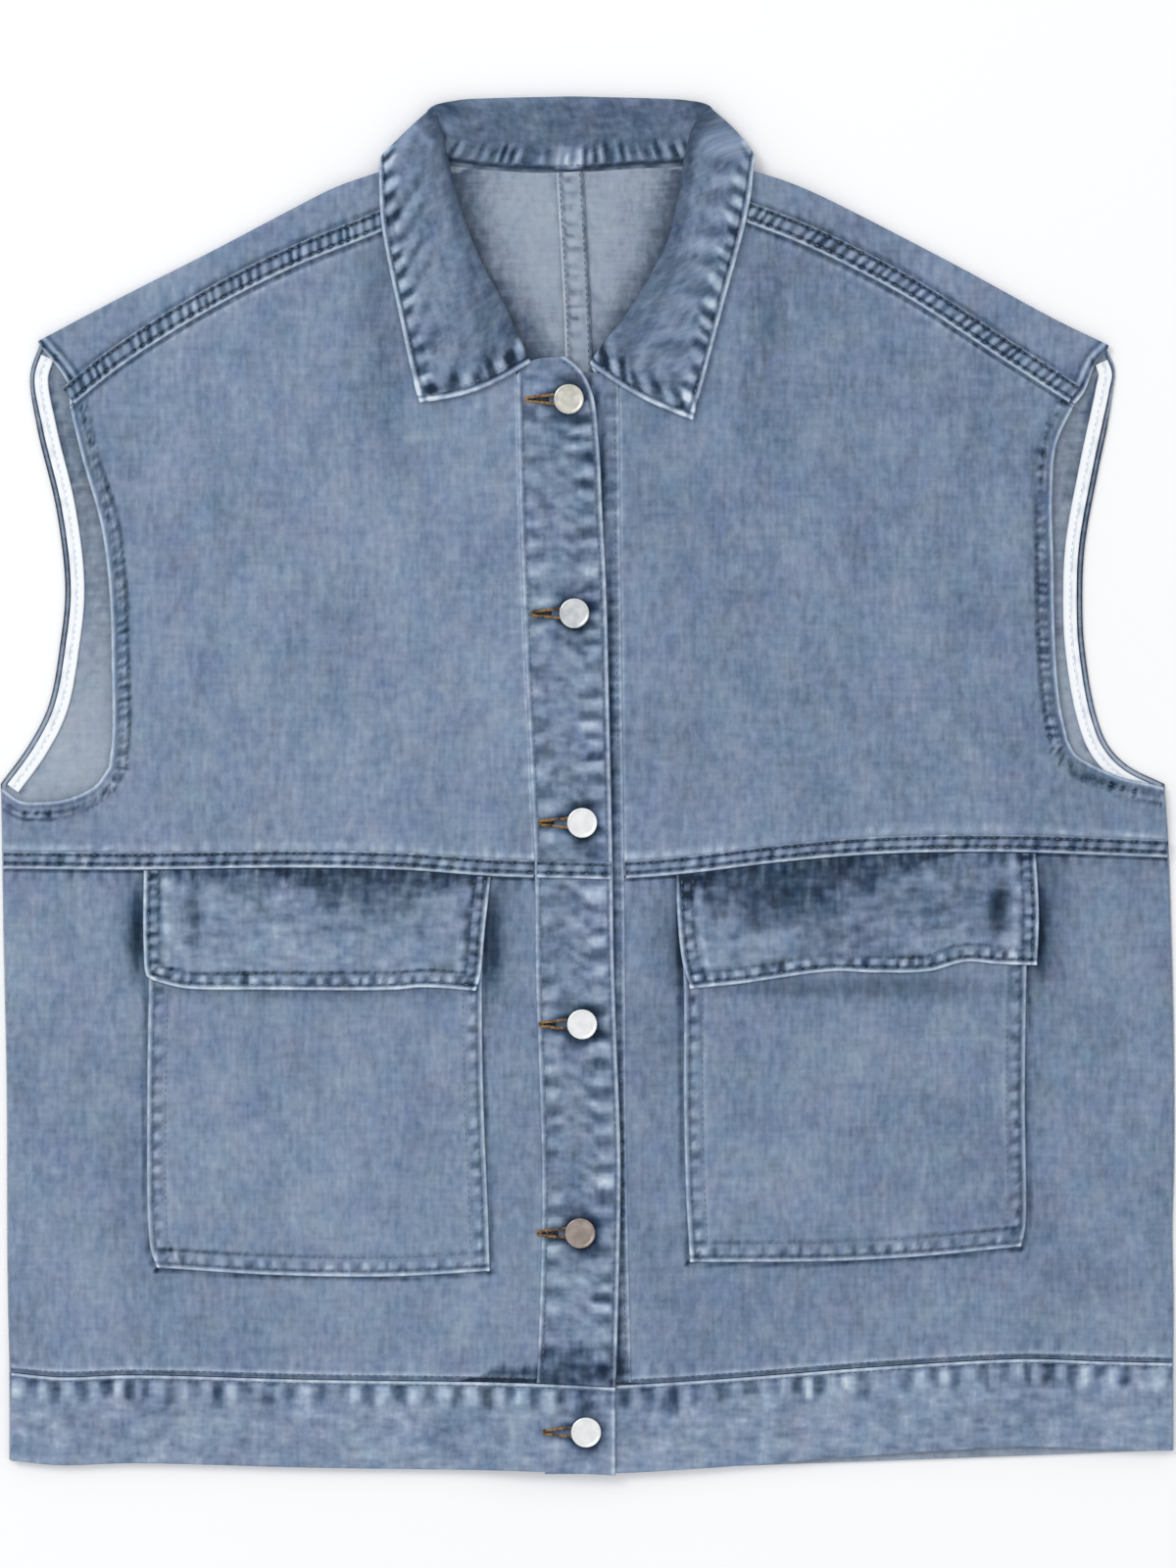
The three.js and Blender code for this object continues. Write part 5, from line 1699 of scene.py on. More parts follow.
    def _patch(self, kind: str, top: Optional[Line], floor: Height,
               step: float) -> tuple[Net, Line, Line, Line]:
        """Lays out a patch that is sewn round three sides.

        Args:
            kind: "pocket" or "flap".
            top: its top line, or none where that is straight.
            floor: height of its underside.
            step: spacing of its grid.

        Returns:
            Its net, and its outer, inner and bottom lines, towards +Y and +X.
        """
        outer, bottom, inner = (self.edges[f"{kind}_{name}"] for name in ("outer", "bottom", "inner"))
        outer, inner = upward(outer), upward(inner)
        top = top or straight(outer.points[-1], inner.points[-1])
        outer = outer.pinned(bottom.points[0], top.points[0])
        inner = inner.pinned(bottom.points[-1], top.points[-1])
        columns, rows = spread(bottom.length, step), spread(outer.length, step)
        net = Quad(bottom, top, outer, inner).net(floor, PLY, columns, rows)
        return net.facing(self.side), outer, inner, rightward(bottom)

    def _build_pocket(self) -> None:
        """Builds the patch pocket."""
        floor = lifted(self.lower)
        net, outer, inner, foot = self._patch("pocket", None, floor, 1.9)
        details: list[Detail] = []
        for k, (line, into) in enumerate([(outer, self.out), (inner, -self.out)]):
            details += [
                Pucker(line, 3.2, into * 9.8, 8.4, 0.17, 0.5, bias=-0.05, seed=51 + k),
                Band(line, into * 11.2, 0.8, 0.3),
                Band(line, into * 0.8, 0.65, 0.5),
                *grooves(line, *(into * row for row in POCKET_ROWS), tone=-0.4),
            ]
        details += [
            Pucker(foot, 3.2, 9.8, 8.0, 0.17, 0.5, seed=53),
            Band(foot, 0.8, 0.7, 0.62),
            *grooves(foot, *POCKET_ROWS, tone=-0.5),
            # Painted shadow under the flap's lower edge
            Patch(POCKET_MIDDLE * self.out, -103, 84, 6, -0.36),
        ]
        self.pocket = Cloth(self._name("pocket"), [net], PLY, floor, details, shade=self.shade + 0.01,
                            lies_on=(self._name("front_lower"),)).build()

    def _build_flap(self) -> None:
        """Builds the pocket's flap, which hangs from the waist seam."""
        ends = (self.edges[f"flap_{name}"].points[0][0] for name in ("outer", "inner"))
        seam = self.edges["chest_seam"].part(0, *ends)
        top = seam.moved(0, -FELL_OVERHANG - SEAM_GAP)
        rank = np.argsort(seam.points[:, 0])
        level = lambda x: np.interp(x, seam.points[rank, 0], seam.points[rank, 1])
        climb = PLY + SEAM_GAP + FLAP_EASE
        under = lifted(self.lower)
        floor = lambda x, y: under(x, y) + climb * ramp(level(x) - y, 2, POCKET_TUCK - 2)
        net, outer, inner, foot = self._patch("flap", top, floor, 1.6)
        details: list[Detail] = []
        for k, (line, into) in enumerate([(outer, self.out), (inner, -self.out)]):
            details += [
                Pucker(line, 3.0, into * 9.8, 6.4, 0.18, 0.6, bias=-0.12, seed=61 + k),
                Pucker(line, 9.0, into * 17, 12.0, 0.16, 0.3, bias=0.04, seed=67 + k),
                Band(line, into * 0.8, 0.7, 0.72, 0.15),
                Band(line, into * 12.0, 1.2, 0.3),
                *grooves(line, *(into * row for row in FLAP_ROWS), tone=-0.62),
            ]
        brow = rightward(top)
        details += [
            Pucker(foot, 3.2, 9.2, 7.6, 0.2, 0.75, bias=0.04, seed=63),
            Band(foot, 0.8, 0.8, 0.78, 0.15),
            *grooves(foot, *FLAP_ROWS, tone=-0.7),
            Pucker(brow, 0.0, -9, 6.0, 0.2, 0.3, bias=-0.06, seed=66),
            Stain(brow, brow.length / 2, 92, -11, -0.24, 65),
            Stain(brow, *self.stain, -0.5, 64),
            Stain(brow, self.stain[0] - 66, 26, -13, -0.24, 68),
            *(Patch(POCKET_MIDDLE * self.out + dx, *rest) for dx, *rest in self.rubs),
        ]
        self.flap = Cloth(self._name("flap"), [net], PLY, floor, details, WORN_OUT,
                          shade=self.shade - 0.04,
                          lies_on=(self._name("front_lower"), self._name("pocket"))).build()

    def build(self) -> None:
        """Builds the front's pieces in the order in which they are sewn."""
        self._build_upper()
        self._build_lower()
        self._build_fells()
        self._build_pocket()
        self._build_flap()

    def dress(self) -> None:
        """Sews the front."""
        sewing = Sewing(self._name("stitches_front"))
        edges = self.edges
        right = self.side is Side.RIGHT
        waist = rightward(self._chest(WAIST_END[self.side][2]))
        for line, width, piece in ((waist, FELL_WIDTH, self.waist),
                                   (self._slope(), SHOULDER_FELL_WIDTH, self.shoulder)):
            for row in (FELL_ROW, width - FELL_TOP_ROW):
                sewing.along(line, row - FELL_OVERHANG, piece)
        hole = Line.joined([edges["armhole_foot"], edges["armhole"]], [HOLE_SHARE, 1.0])
        for row in ARMHOLE_ROWS:
            sewing.along(hole.stretch(0.03 if right else 0.0, 1, 300), self.out * row, self.upper)
        self._sew_patch(sewing, self.pocket, "pocket", POCKET_ROWS)
        self._sew_patch(sewing, self.flap, "flap", FLAP_ROWS)
        hem = rightward(edges["hem_seam"]).stretch(0.02, 0.9 if right else 0.98, 200)
        sewing.along(hem, 2.4, self.lower)
        threads = sewing.build()
        self.upper.declare(self.waist.obj, self.shoulder.obj, threads)
        for piece in (self.lower, self.pocket, self.flap):
            piece.declare()

    def _sew_patch(self, sewing: Sewing, piece: Cloth, kind: str, insets: Sequence[float]) -> None:
        """Sews a patch round three sides.

        Args:
            sewing: takes the stitches.
            piece: the patch.
            kind: "pocket" or "flap".
            insets: distances of the rows from its edge in mm.
        """
        left, right = (upward(self.edges[f"{kind}_{end}"]) for end in ("outer", "inner")[::-self.out])
        foot = rightward(self.edges[f"{kind}_bottom"])
        for inset in insets:
            spare = (inset + 0.8) / foot.length
            sewing.along(foot.stretch(spare, 1 - spare, 160), inset, piece)
            for line, sign in ((left, -1), (right, 1)):
                spare = (inset + 0.8) / line.length
                sewing.along(line.stretch(spare, 0.985, 160), sign * inset, piece)


# Buttons: x, y and finish, whose colour is a painted reflection
BUTTONS = [
    (-9.8, 197.2, Finish.NICKEL_BEIGE_REFLECTION),
    (-7.0, 88.0, Finish.NICKEL_SILVER_REFLECTION),
    (-3.0, -18.8, Finish.NICKEL),
    (-3.0, -121.5, Finish.NICKEL),
    (-4.0, -228.0, Finish.NICKEL_TAUPE_REFLECTION),
    (-1.0, -329.5, Finish.NICKEL),
]


@dataclass
class Opening:
    """The plackets, the front hem bands and the fell that crosses the right placket.

    Attributes:
        slot_length: from a button's middle to the end of its buttonhole in mm.
        slot_width: of a buttonhole at its tip in mm.
        flare: how much wider it gapes at the button, on each side, in mm.
        eyelet_radius: of its round end in mm.
        post_radius: of the hole for a button's post in mm.
        pieces: the plackets, bands and fell.
    """

    slot_length: float = 21.0
    slot_width: float = 1.2
    flare: float = 2.2
    eyelet_radius: float = 2.5
    post_radius: float = 2.3
    pieces: dict[str, Cloth] = field(default_factory=dict)

    def _cylinders(self, radius: float, places: Sequence[tuple]) -> bpy.types.Object:
        """Returns: upright cylinders that cut round holes."""
        bm = bmesh.new()
        for x, y, _ in places:
            bmesh.ops.create_cone(bm, cap_ends=True, segments=20, radius1=radius * MM, radius2=radius * MM,
                                  depth=40 * MM, matrix=Matrix.Translation((x * MM, y * MM, 0)))
        return smooth_object(bm, "cutter_round")

    def _gape(self, distance: float) -> float:
        """Returns: half the width in mm that a buttonhole gapes at a distance from its button's middle."""
        return self.slot_width / 2 + self.flare * (1 - distance / self.slot_length)

    def _slits(self, places: Sequence[tuple]) -> bpy.types.Object:
        """Returns: upright wedges that cut the slits towards -X."""
        bm = bmesh.new()
        for x, y, _ in places:
            size = Matrix.Diagonal((self.slot_length * MM, self.slot_width * MM, 40 * MM, 1))
            place = Matrix.Translation(((x - self.slot_length / 2) * MM, y * MM, 0))
            for vert in bmesh.ops.create_cube(bm, size=1.0, matrix=place @ size)["verts"]:
                distance = x - vert.co.x / MM
                vert.co.y = (y + math.copysign(self._gape(distance), vert.co.y / MM - y)) * MM
        return smooth_object(bm, "cutter_slit")

    def build(self) -> None:
        """Builds the plackets and bands, with their holes."""
        self._build_over()
        self._build_under()
        for side in Side:
            self._build_band(side)
        self._build_fell()

    def _build_over(self) -> None:
        """Builds the right placket, which carries the buttonholes."""
        edge = FRONT_EDGE
        left = PLACKET_LINE.moved(-SEAM_LAP)
        top = PLACKET_TOP.pinned(left.points[-1], edge.points[-1])
        quad = Quad(straight(left.points[0], edge.points[0]), top, left, edge)
        net = quad.net(Ground.over, TWO_PLY, spread(45, 1.5), spread(edge.length, 1.6))
        main = FRONT_EDGE.part(1, -306, 196)
        details = [
            Band(FRONT_EDGE, 1.0, 0.8, 0.62, 0.15),
            *grooves(FRONT_EDGE, PLACKET_ROW, tone=-0.3),
            Pucker(main, 4.0, 20, 12.0, 0.3, 0.66, bias=-0.04, seed=71),
            Pucker(main, 12, 34, 9.0, 0.16, 0.2, slant=0.7, seed=76),
            Pucker(PLACKET_LINE, 3.0, -16, 13.0, 0.22, 0.4, bias=0.04, seed=72),
            Band(PLACKET_LINE, -0.6, 0.8, 0.5),
            *grooves(PLACKET_LINE, -PLACKET_ROW, tone=-0.22),
            Stain(straight((-26, -304), (15, -306)), 20, 30, 20, -0.6, 77),
        ]
        for x, y, _ in BUTTONS[:-1]:
            details += self._round_button(x, y)
        holes = [self._slits(BUTTONS[:-1]), self._cylinders(self.eyelet_radius, BUTTONS[:-1])]
        self.pieces["over"] = Cloth("placket_right", [net], TWO_PLY, Ground.over, details,
                                    WORN_OUT, shade=-0.02, lies_on=("placket_left",),
                                    edge=1.1, holes=holes).build()

    @staticmethod
    def _round_button(x: float, y: float) -> list[Detail]:
        """Returns: painted shadow round a cap and painted shade along its buttonhole's slit, with paler
        patches beside the buttonhole and the cap.
        """
        return [
            Patch(x, y, 9.3, 9.3, -1.8),
            Patch(x - 13, y, 8, 3.4, -0.7),
            Patch(x - 12, y + 6.5, 7, 2.2, 0.4),
            Patch(x - 12, y - 6.5, 7, 2.2, 0.4),
            Patch(x + 12, y, 3.0, 6, 0.35),
        ]

    def _build_under(self) -> None:
        """Builds the left placket, which carries the buttons."""
        seam = UNDER_SEAM.part(1, HEM_LEVEL, NECK_LEVEL).moved(SEAM_LAP)
        inner = seam.moved(-UNDER_PLACKET_WIDTH)
        quad = Quad(straight(inner.points[0], seam.points[0]), straight(inner.points[-1], seam.points[-1]),
                    inner, seam)
        net = quad.net(Ground.front, TWO_PLY, spread(UNDER_PLACKET_WIDTH, 3.0), spread(seam.length, 3.0))
        details = [
            Pucker(seam, 0.8, 12, 7.0, 0.12, 0.3, bias=-0.05, seed=73),
            Band(seam, 0.8, 0.7, 0.45),
            # Painted shadow that the right placket's edge casts
            Band(FRONT_EDGE, -1.0, 1.5, -0.7),
            Patch(20, -297, 24, 6, -0.5),
        ]
        self.pieces["under"] = Cloth("placket_left", [net], TWO_PLY, Ground.front, details, shade=-0.05,
                                     lies_on=("back_right", "back_left"), edge=1.0,
                                     holes=[self._cylinders(self.post_radius, BUTTONS[:-1])]).build()

    def _build_band(self, side: Side) -> None:
        """Builds one front's hem band.

        Args:
            side: which front.
        """
        seam = rightward(EDGES[side]["hem_seam"]).moved(0, -HALF_GAP)
        quad = between(seam.moved(0, -HEM_WIDTH), seam)
        net = quad.net(Ground.of(side), TWO_PLY, spread(seam.length, 1.8), spread(HEM_WIDTH, 1.8))
        details = [
            Pucker(seam, 2.6, -19, 12.0, 0.32, 0.62, bias=-0.08, seed=81 + side.outward),
            Pucker(seam, 4.0, -22, 17.0, 0.2, 0.26, seed=86),
            Band(seam, -0.9, 0.8, 0.55),
            *grooves(seam, -HEM_ROW, tone=-0.45),
            Patch(-4 if side is Side.RIGHT else 28, -310, 14, 5, -0.3),
        ]
        if side is Side.RIGHT:
            details += [Band(quad.end, 1.1, 0.9, 0.55), *self._round_button(*BUTTONS[-1][:2])]
            holes = [self._slits(BUTTONS[-1:]), self._cylinders(self.eyelet_radius, BUTTONS[-1:])]
        else:
            holes = [self._cylinders(self.post_radius, BUTTONS[-1:])]
        lies_on = ("hem_band_back",) if side is Side.LEFT else ("hem_band_back", "hem_band_left")
        name = f"hem_band_{side.value}"
        self.pieces[name] = Cloth(name, [net], TWO_PLY, Ground.of(side), details, WORN_OUT,
                                  shade=0.13, lies_on=lies_on, edge=1.0, holes=holes).build()

    def _build_fell(self) -> None:
        """Builds the end of the waist fell that crosses the placket."""
        line = EDGES[Side.RIGHT]["chest_seam"].part(0, -26.2, 11.8)
        floor = lifted(self.pieces["over"])
        net = strip_net(line, -FELL_OVERHANG, FELL_WIDTH - FELL_OVERHANG, floor, PLY)
        details = [
            Pucker(line, 0, 11, 8.0, 0.15, 0.4, seed=75),
            Band(line, 0.1, 0.8, 0.6),
            *grooves(line, FELL_ROW - FELL_OVERHANG, FELL_WIDTH - FELL_OVERHANG - FELL_TOP_ROW, tone=-0.9),
        ]
        self.pieces["fell"] = Cloth("waist_fell_placket", [net], PLY, floor, details, WORN_OUT,
                                    flat=(line.length, FELL_WIDTH), lies_on=("placket_right",)).build()

    def dress(self) -> None:
        """Sews the plackets and bands, and works the buttonholes."""
        sewing = Sewing("stitches_opening")
        over = self.pieces["over"]
        sewing.along(FRONT_EDGE.part(1, -303, 204), PLACKET_ROW, over)
        sewing.along(PLACKET_LINE.part(1, -303, 208), -PLACKET_ROW, over)
        chest = EDGES[Side.RIGHT]["chest_seam"].part(0, -25, 10.5)
        for row in (FELL_ROW, FELL_WIDTH - FELL_TOP_ROW):
            sewing.along(chest, row - FELL_OVERHANG, self.pieces["fell"])
        sewing.along(UNDER_SEAM.part(1, -303, 210), 2.4, self.pieces["under"])
        for side in Side:
            seam = rightward(EDGES[side]["hem_seam"])
            band = self.pieces[f"hem_band_{side.value}"]
            sewing.along(seam.stretch(0.01, 0.99, 200), -HEM_ROW, band)
        threads = sewing.build()
        over.declare(self.pieces["fell"].obj, threads, self._work_holes())
        for name in ("under", "hem_band_right", "hem_band_left"):
            self.pieces[name].declare()

    def _work_holes(self) -> bpy.types.Object:
        """Returns: the purl stitches round every buttonhole."""
        purl = Sewing("buttonhole_stitches", Finish.HOLE_THREAD, width=0.62)
        bm = bmesh.new()
        for k, (x, y, _) in enumerate(BUTTONS):
            base = self.pieces["over"] if k < len(BUTTONS) - 1 else self.pieces["hem_band_right"]
            reach = np.arange(self.eyelet_radius + 0.3, self.slot_length + 1.0, 0.62)
            spots = [(x - r, y + s * (self._gape(r) + 0.35), 90.0) for r in reach for s in (-1, 1)]
            spots += [(x - self.slot_length - 0.5, y + s, 0.0) for s in (-0.9, -0.3, 0.3, 0.9)]
            rim = self.eyelet_radius + 0.35
            spots += [(x + rim * math.cos(a), y + rim * math.sin(a), math.degrees(a))
                      for a in np.linspace(-2.5, 2.5, 24)]
            plan = np.array(spots)
            z = base.top(plan[:, 0], plan[:, 1])
            for (px, py, turn), pz in zip(spots, z):
                spin = Matrix.Rotation(math.radians(turn), 4, "Z")
                bead(bm, (px, py, pz + 0.02), spin, (0.95, purl.width / 2, 0.34))
        obj = smooth_object(bm, purl.name)
        publish(obj, (purl.finish,), "thread", None)
        return obj


# Sections across the collar, from a front corner to the middle of the back: where it is sewn to the
# neck, where it rolls over, where its outer edge lies, which way it rolls (90 over the front, 0 round
# the shoulder, -90 under the back) and how far its outer part bows
CENTRE_SECTION = (-9.5, 314.2, -8, 351, -9, 301, -90, 0)
COLLAR_SECTIONS = {
    Side.RIGHT: [
        (-35.5, 211, -30, 215.3, -86, 195.5, 90, 4),
        (-41.3, 221, -36, 228.5, -88.5, 204, 90, 2.5),
        (-57.3, 236.8, -45, 248, -92, 219, 90, 0),
        (-71.3, 253.6, -55.5, 267.5, -96, 238, 90, 0),
        (-81.2, 272.4, -65, 291.5, -101.5, 264, 90, 0),
        (-87, 291.2, -70.5, 312, -105.5, 287, 80, 0),
        (-87.3, 307, -74.5, 331, -106.5, 306, 76, 0),
        (-83.9, 321.5, -79, 344.5, -106, 319.5, 0, -0.5),
        (-78, 319.9, -66, 349, -101, 313, -60, 0),
        (-66, 318.4, -51, 350, -74, 304, -85, 0),
        (-45.5, 315.8, -34, 350.5, -45, 302, -90, 0),
        CENTRE_SECTION,
    ],
    Side.LEFT: [
        (3, 209.5, 1.5, 215, 53.5, 186.5, 90, 2.5),
        (15, 212.4, 9.5, 226.5, 56.5, 197, 90, 1),
        (29.4, 225.8, 22, 242.5, 61, 214, 90, 0),
        (43.4, 243.6, 33.5, 262, 66.5, 235, 90, 0),
        (55.3, 262.6, 42, 279, 72.5, 257, 90, 0),
        (64, 280.2, 46.5, 299, 79, 281, 90, 0),
        (69, 293, 50, 320, 83, 300, 70, 0),
        (69.2, 307, 54, 335, 84, 309, 76, 0),
        (65.6, 321.5, 60.5, 345.5, 84.5, 321, 0, -1.5),
        (59.5, 320.2, 50, 349, 80, 315, -60, 0),
        (46, 318.4, 33, 350, 54, 304, -85, 0),
        (24, 317, 14, 350.5, 24, 302, -90, 0),
        CENTRE_SECTION,
    ],
}


@dataclass
class Collar:
    """The turned-down collar, one shell of two sewn plies.

    Attributes:
        per_section: grid lines between two sections.
        stand_lines: grid lines up the stand.
        roll_lines: grid lines round the roll.
        fall_lines: grid lines down the fall.
        gap: between the fall and what it lies on in mm.
        leaf_rise: how much higher the fall lies over the shoulder seam in mm.
        roll_radius: smallest and largest radius of the roll in mm.
        net: the finished grid.
        cloth: the collar's cloth.
        across: distances from the neck seam in mm.
        along: distances from the right front end in mm.
    """

    per_section: int = 13
    stand_lines: int = 16
    roll_lines: int = 12
    fall_lines: int = 28
    gap: float = 2.4
    leaf_rise: float = 0.7
    roll_radius: tuple[float, float] = (1.3, 2.2)
    net: Optional[Net] = None
    cloth: Optional[Cloth] = None
    across: Optional[Array] = None
    along: Optional[Array] = None

    def _blend(self, rows: Rows) -> Array:
        """Blends the sections smoothly.

        Args:
            rows: the section table, from a front corner.

        Returns:
            One row for each grid line, crowded at the corner.
        """
        table = np.array(rows, float)
        t = np.linspace(0, len(table) - 1, (len(table) - 1) * self.per_section + 1)
        first = np.array(EDGE_LINES[:-1]) / 10.5
        t = np.concatenate([first, t[t > first[-1] + 0.02]])
        at = np.minimum(t.astype(int), len(table) - 2)
        f = (t - at)[:, None]
        a, b, c, d = (table[np.clip(at + k, 0, len(table) - 1)] for k in (-1, 0, 1, 2))
        blended = b + 0.5 * f * (c - a + f * (2 * a - 5 * b + 4 * c - d + f * (3 * (b - c) + d - a)))
        blended[:, 6] = np.clip(blended[:, 6], -90, 90)
        return blended

    def _sections(self, side: Side) -> Array:
        """Returns: points of one half, by grid line along and across."""
        rows = self._blend(COLLAR_SECTIONS[side])
        floor = Ground.of(side)
        half = TWO_PLY / 2
        zero = np.zeros(len(rows))
        neck, roll, edge = (np.column_stack([rows[:, k], rows[:, k + 1], zero]) for k in (0, 2, 4))
        turn = np.radians(rows[:, 6])
        front = (1 + np.sin(turn)) / 2
        rise = roll - neck
        distance = np.linalg.norm(rise, axis=1)
        up = rise / distance[:, None]
        sign = 1 if side is Side.RIGHT else -1
        outward = sign * np.column_stack([-up[:, 1], up[:, 0], zero])
        over = outward * np.cos(turn)[:, None]
        over[:, 2] += np.sin(turn)
        radius = np.clip(distance / 8, *self.roll_radius)
        neck[:, 2] = (1 - front) * (NECK_LIFT + PLY / 2) + front * (floor(neck[:, 0], neck[:, 1]) + half)
        centre = roll - up * radius[:, None]
        centre[:, 2] = (1 - front) * half + front * (floor(roll[:, 0], roll[:, 1]) + half) + radius
        angles = np.linspace(-math.pi / 2, math.pi / 2, self.roll_lines + 1)
        turned = up[:, None] * np.cos(angles)[None, :, None] + over[:, None] * np.sin(angles)[None, :, None]
        rounded = centre[:, None] + radius[:, None, None] * turned
        s = spread(36, 36 / self.stand_lines, (True, False))[None, :-1, None]
        stand = neck[:, None] * (1 - s) + rounded[:, :1] * s
        top = rounded[:, -1]
        way = edge - top
        way[:, 2] = 0
        way /= np.linalg.norm(way, axis=1)[:, None]
        bow = sign * rows[:, 7:8] * np.column_stack([-way[:, 1], way[:, 0], zero])
        t = spread(48, 48 / self.fall_lines, (False, True))[None, 1:, None]
        fall = top[:, None] * (1 - t) + edge[:, None] * t + bow[:, None] * np.sin(math.pi * t)
        leaf = lambda p: (floor(p[..., 0], p[..., 1]) + self.gap + half
                          + self.leaf_rise * ramp(p[..., 1], 255, 275))
        lift = top[:, 2] - (1 - front) * half - front * leaf(top)
        fall[..., 2] = ((1 - front)[:, None] * half + front[:, None] * leaf(fall)
                        + lift[:, None] * (1 - t[..., 0]) ** 2)
        return np.concatenate([stand, rounded, fall], axis=1)

    def build(self) -> None:
        """Builds the collar's shell."""
        right, left = self._sections(Side.RIGHT), self._sections(Side.LEFT)
        points = np.concatenate([right, left[::-1][1:]], axis=0).transpose(1, 0, 2)
        along_way, across_way = np.gradient(points, axis=1), np.gradient(points, axis=0)
        normals = np.cross(along_way, across_way)
        normals /= np.linalg.norm(normals, axis=-1)[..., None]
        steps_across = np.linalg.norm(np.diff(points, axis=0), axis=-1)
        self.across = np.vstack([np.zeros(points.shape[1]), np.cumsum(steps_across, axis=0)])
        steps_along = np.linalg.norm(np.diff(points, axis=1), axis=-1)
        self.along = np.hstack([np.zeros((len(points), 1)), np.cumsum(steps_along, axis=1)])
        height, tone = self._details(points)
        points = points + normals * height[..., None]
        borders = (points[0], points[-1], points[:, 0], points[:, -1])
        self.net = Net(points, normals, borders)
        lies_on = tuple(f"{part}_{side.value}" for part in ("front_upper", "back") for side in Side)
        flat = (float(self.along[-1, -1]), float(self.across[-1].mean()) + 6)
        cloth = CollarCloth("collar", [self.net], TWO_PLY, Ground.front, (), (Finish.COLLAR, Finish.COLLAR),
                            "denim", -0.1, flat=flat, lies_on=lies_on, edge=1.05)
        self.cloth = cloth
        cloth.tones = tone.ravel()
        cloth.places = np.stack([self.along, self.across, np.zeros_like(tone)], axis=-1) * MM
        obj = cloth.build().obj
        layer = obj.data.uv_layers.new(name="grain")
        places = obj.data.attributes["place"]
        flat = np.zeros(len(obj.data.vertices) * 3)
        places.data.foreach_get("vector", flat)
        pairs = flat.reshape(-1, 3)[:, :2]
        corners = np.zeros(len(obj.data.loops), dtype=int)
        obj.data.loops.foreach_get("vertex_index", corners)
        layer.data.foreach_set("uv", pairs[corners].ravel())

    def _details(self, points: Array) -> tuple[Array, Array]:
        """Shapes and tones the collar.

        Args:
            points: of its net.

        Returns:
            Height in mm and tone of the gathers, the worn edges, the teeth of the stand and the painted shade
            along the roll.
        """
        edge_gap = self.across[-1][None] - self.across
        end_gap = np.minimum(self.along, self.along[:, -1:] - self.along)
        edge_run = np.broadcast_to(self.along[-1][None], self.along.shape)
        neck_run = np.broadcast_to(self.along[0][None], self.along.shape)
        line = straight((0, 0), (1, 0))
        layers = [
            (Pucker(line, 0, 12, 9.0, 0.3, 0.95, bias=-0.02, seed=91), edge_run, edge_gap - 3.6),
            (Pucker(line, 0, 28, 15.0, 0.14, 0.36, slant=0.5, seed=94), edge_run, edge_gap - 8.0),
            (Pucker(line, 0, 22, 14.0, 0.1, 0.3, slant=-0.4, seed=96), self.across, end_gap - 8.0),
            (Pucker(line, 0, 13, 9.0, 0.24, 0.9, bias=-0.02, seed=92), self.across, end_gap - 3.6),
            (Band(line, 0, 1.2, 0.75, 0.15), edge_run, edge_gap - 1.1),
            (Band(line, 0, 1.2, 0.75, 0.15), self.across, end_gap - 1.1),
            (Band(line, 0, 0.8, -0.7), edge_run, edge_gap - 3.1),
            (Band(line, 0, 0.8, -0.6), self.across, end_gap - 3.1),
            (Pucker(line, 0, 13, 6.6, 0.24, 0.8, bias=-0.12, seed=93), neck_run, self.across - 2.6),
            (Band(line, 0, 1.2, -0.7), neck_run, self.across - 0.9),
        ]
        height, tone = np.zeros(self.across.shape), np.zeros(self.across.shape)
        for detail, run, gap in layers:
            more, shift = detail.shape(run, gap)
            height += more
            tone += shift
        middle = 1 - ramp(np.abs(points[..., 0] + 9), 50, 62)
        tone -= 0.22 * middle * ramp(self.across, 4, 10) * (1 - ramp(self.across, 30, 40))
        # Painted shade along the roll, away from the middle of the back
        rolled = self.across[self.stand_lines + self.roll_lines // 2][None]
        tone -= 0.5 * (1 - middle) * (1 - ramp(np.abs(self.across - rolled), 2, 13))
        x, y = points[..., 0], points[..., 1]
        square = (1 - ramp(np.abs(x + 9.5), 6.5, 8)) * (1 - ramp(np.abs(y - 320), 5, 6.5))
        tone += 0.5 * square * (self.across < 20)
        return height, tone

    def dress(self) -> None:
        """Sews the collar's outer edge, its front ends and its neck seam."""
        sewing = Sewing("stitches_collar")
        top = self.net.points + self.net.normals * TWO_PLY / 2
        columns = range(top.shape[1])
        length = self.across[-1]

        def inside(inset: float) -> Array:
            """Returns: the points a distance inside the outer edge, one for each grid line."""
            picked = [[np.interp(length[k] - inset, self.across[:, k], top[:, k, axis]) for axis in range(3)]
                      for k in columns]
            return np.array(picked)

        outer = inside(3.0)
        keep = (self.along[-1] > 3) & (self.along[-1] < self.along[-1, -1] - 3)
        sewing.paths.append(outer[keep])
        for k in (int(np.searchsorted(self.along[-1], 3.0)),
                  int(np.searchsorted(self.along[-1], self.along[-1, -1] - 3.0))):
            fall = self.across[:, k] > 14
            sewing.paths.append(top[fall & (self.across[:, k] < length[k] - 3), k])
        neck = np.array([[np.interp(2.4, self.across[:, k], top[:, k, axis]) for axis in range(3)]
                         for k in columns])
        sewing.paths.append(neck[keep])
        self.cloth.declare(sewing.build())


@dataclass
class CollarCloth(Cloth):
    """A cloth whose tones and own places come with its net."""

    tones: Optional[Array] = None
    places: Optional[Array] = None

    def _sides(self, net: Net) -> tuple[Array, Array, Array, Array]:
        """Returns: positions of both sides of the shell, and its own tones for each."""
        upper, under, *_ = super()._sides(net)
        return upper, under, self.tones + self.shade, self.tones + self.shade

    def _store(self, mesh: bpy.types.Mesh, tone: Array) -> None:
        """Stores the tones, and the places along and across the collar."""
        super()._store(mesh, tone)
        mesh.attributes.new("place", "FLOAT_VECTOR", "POINT").data.foreach_set("vector", self.places.ravel())


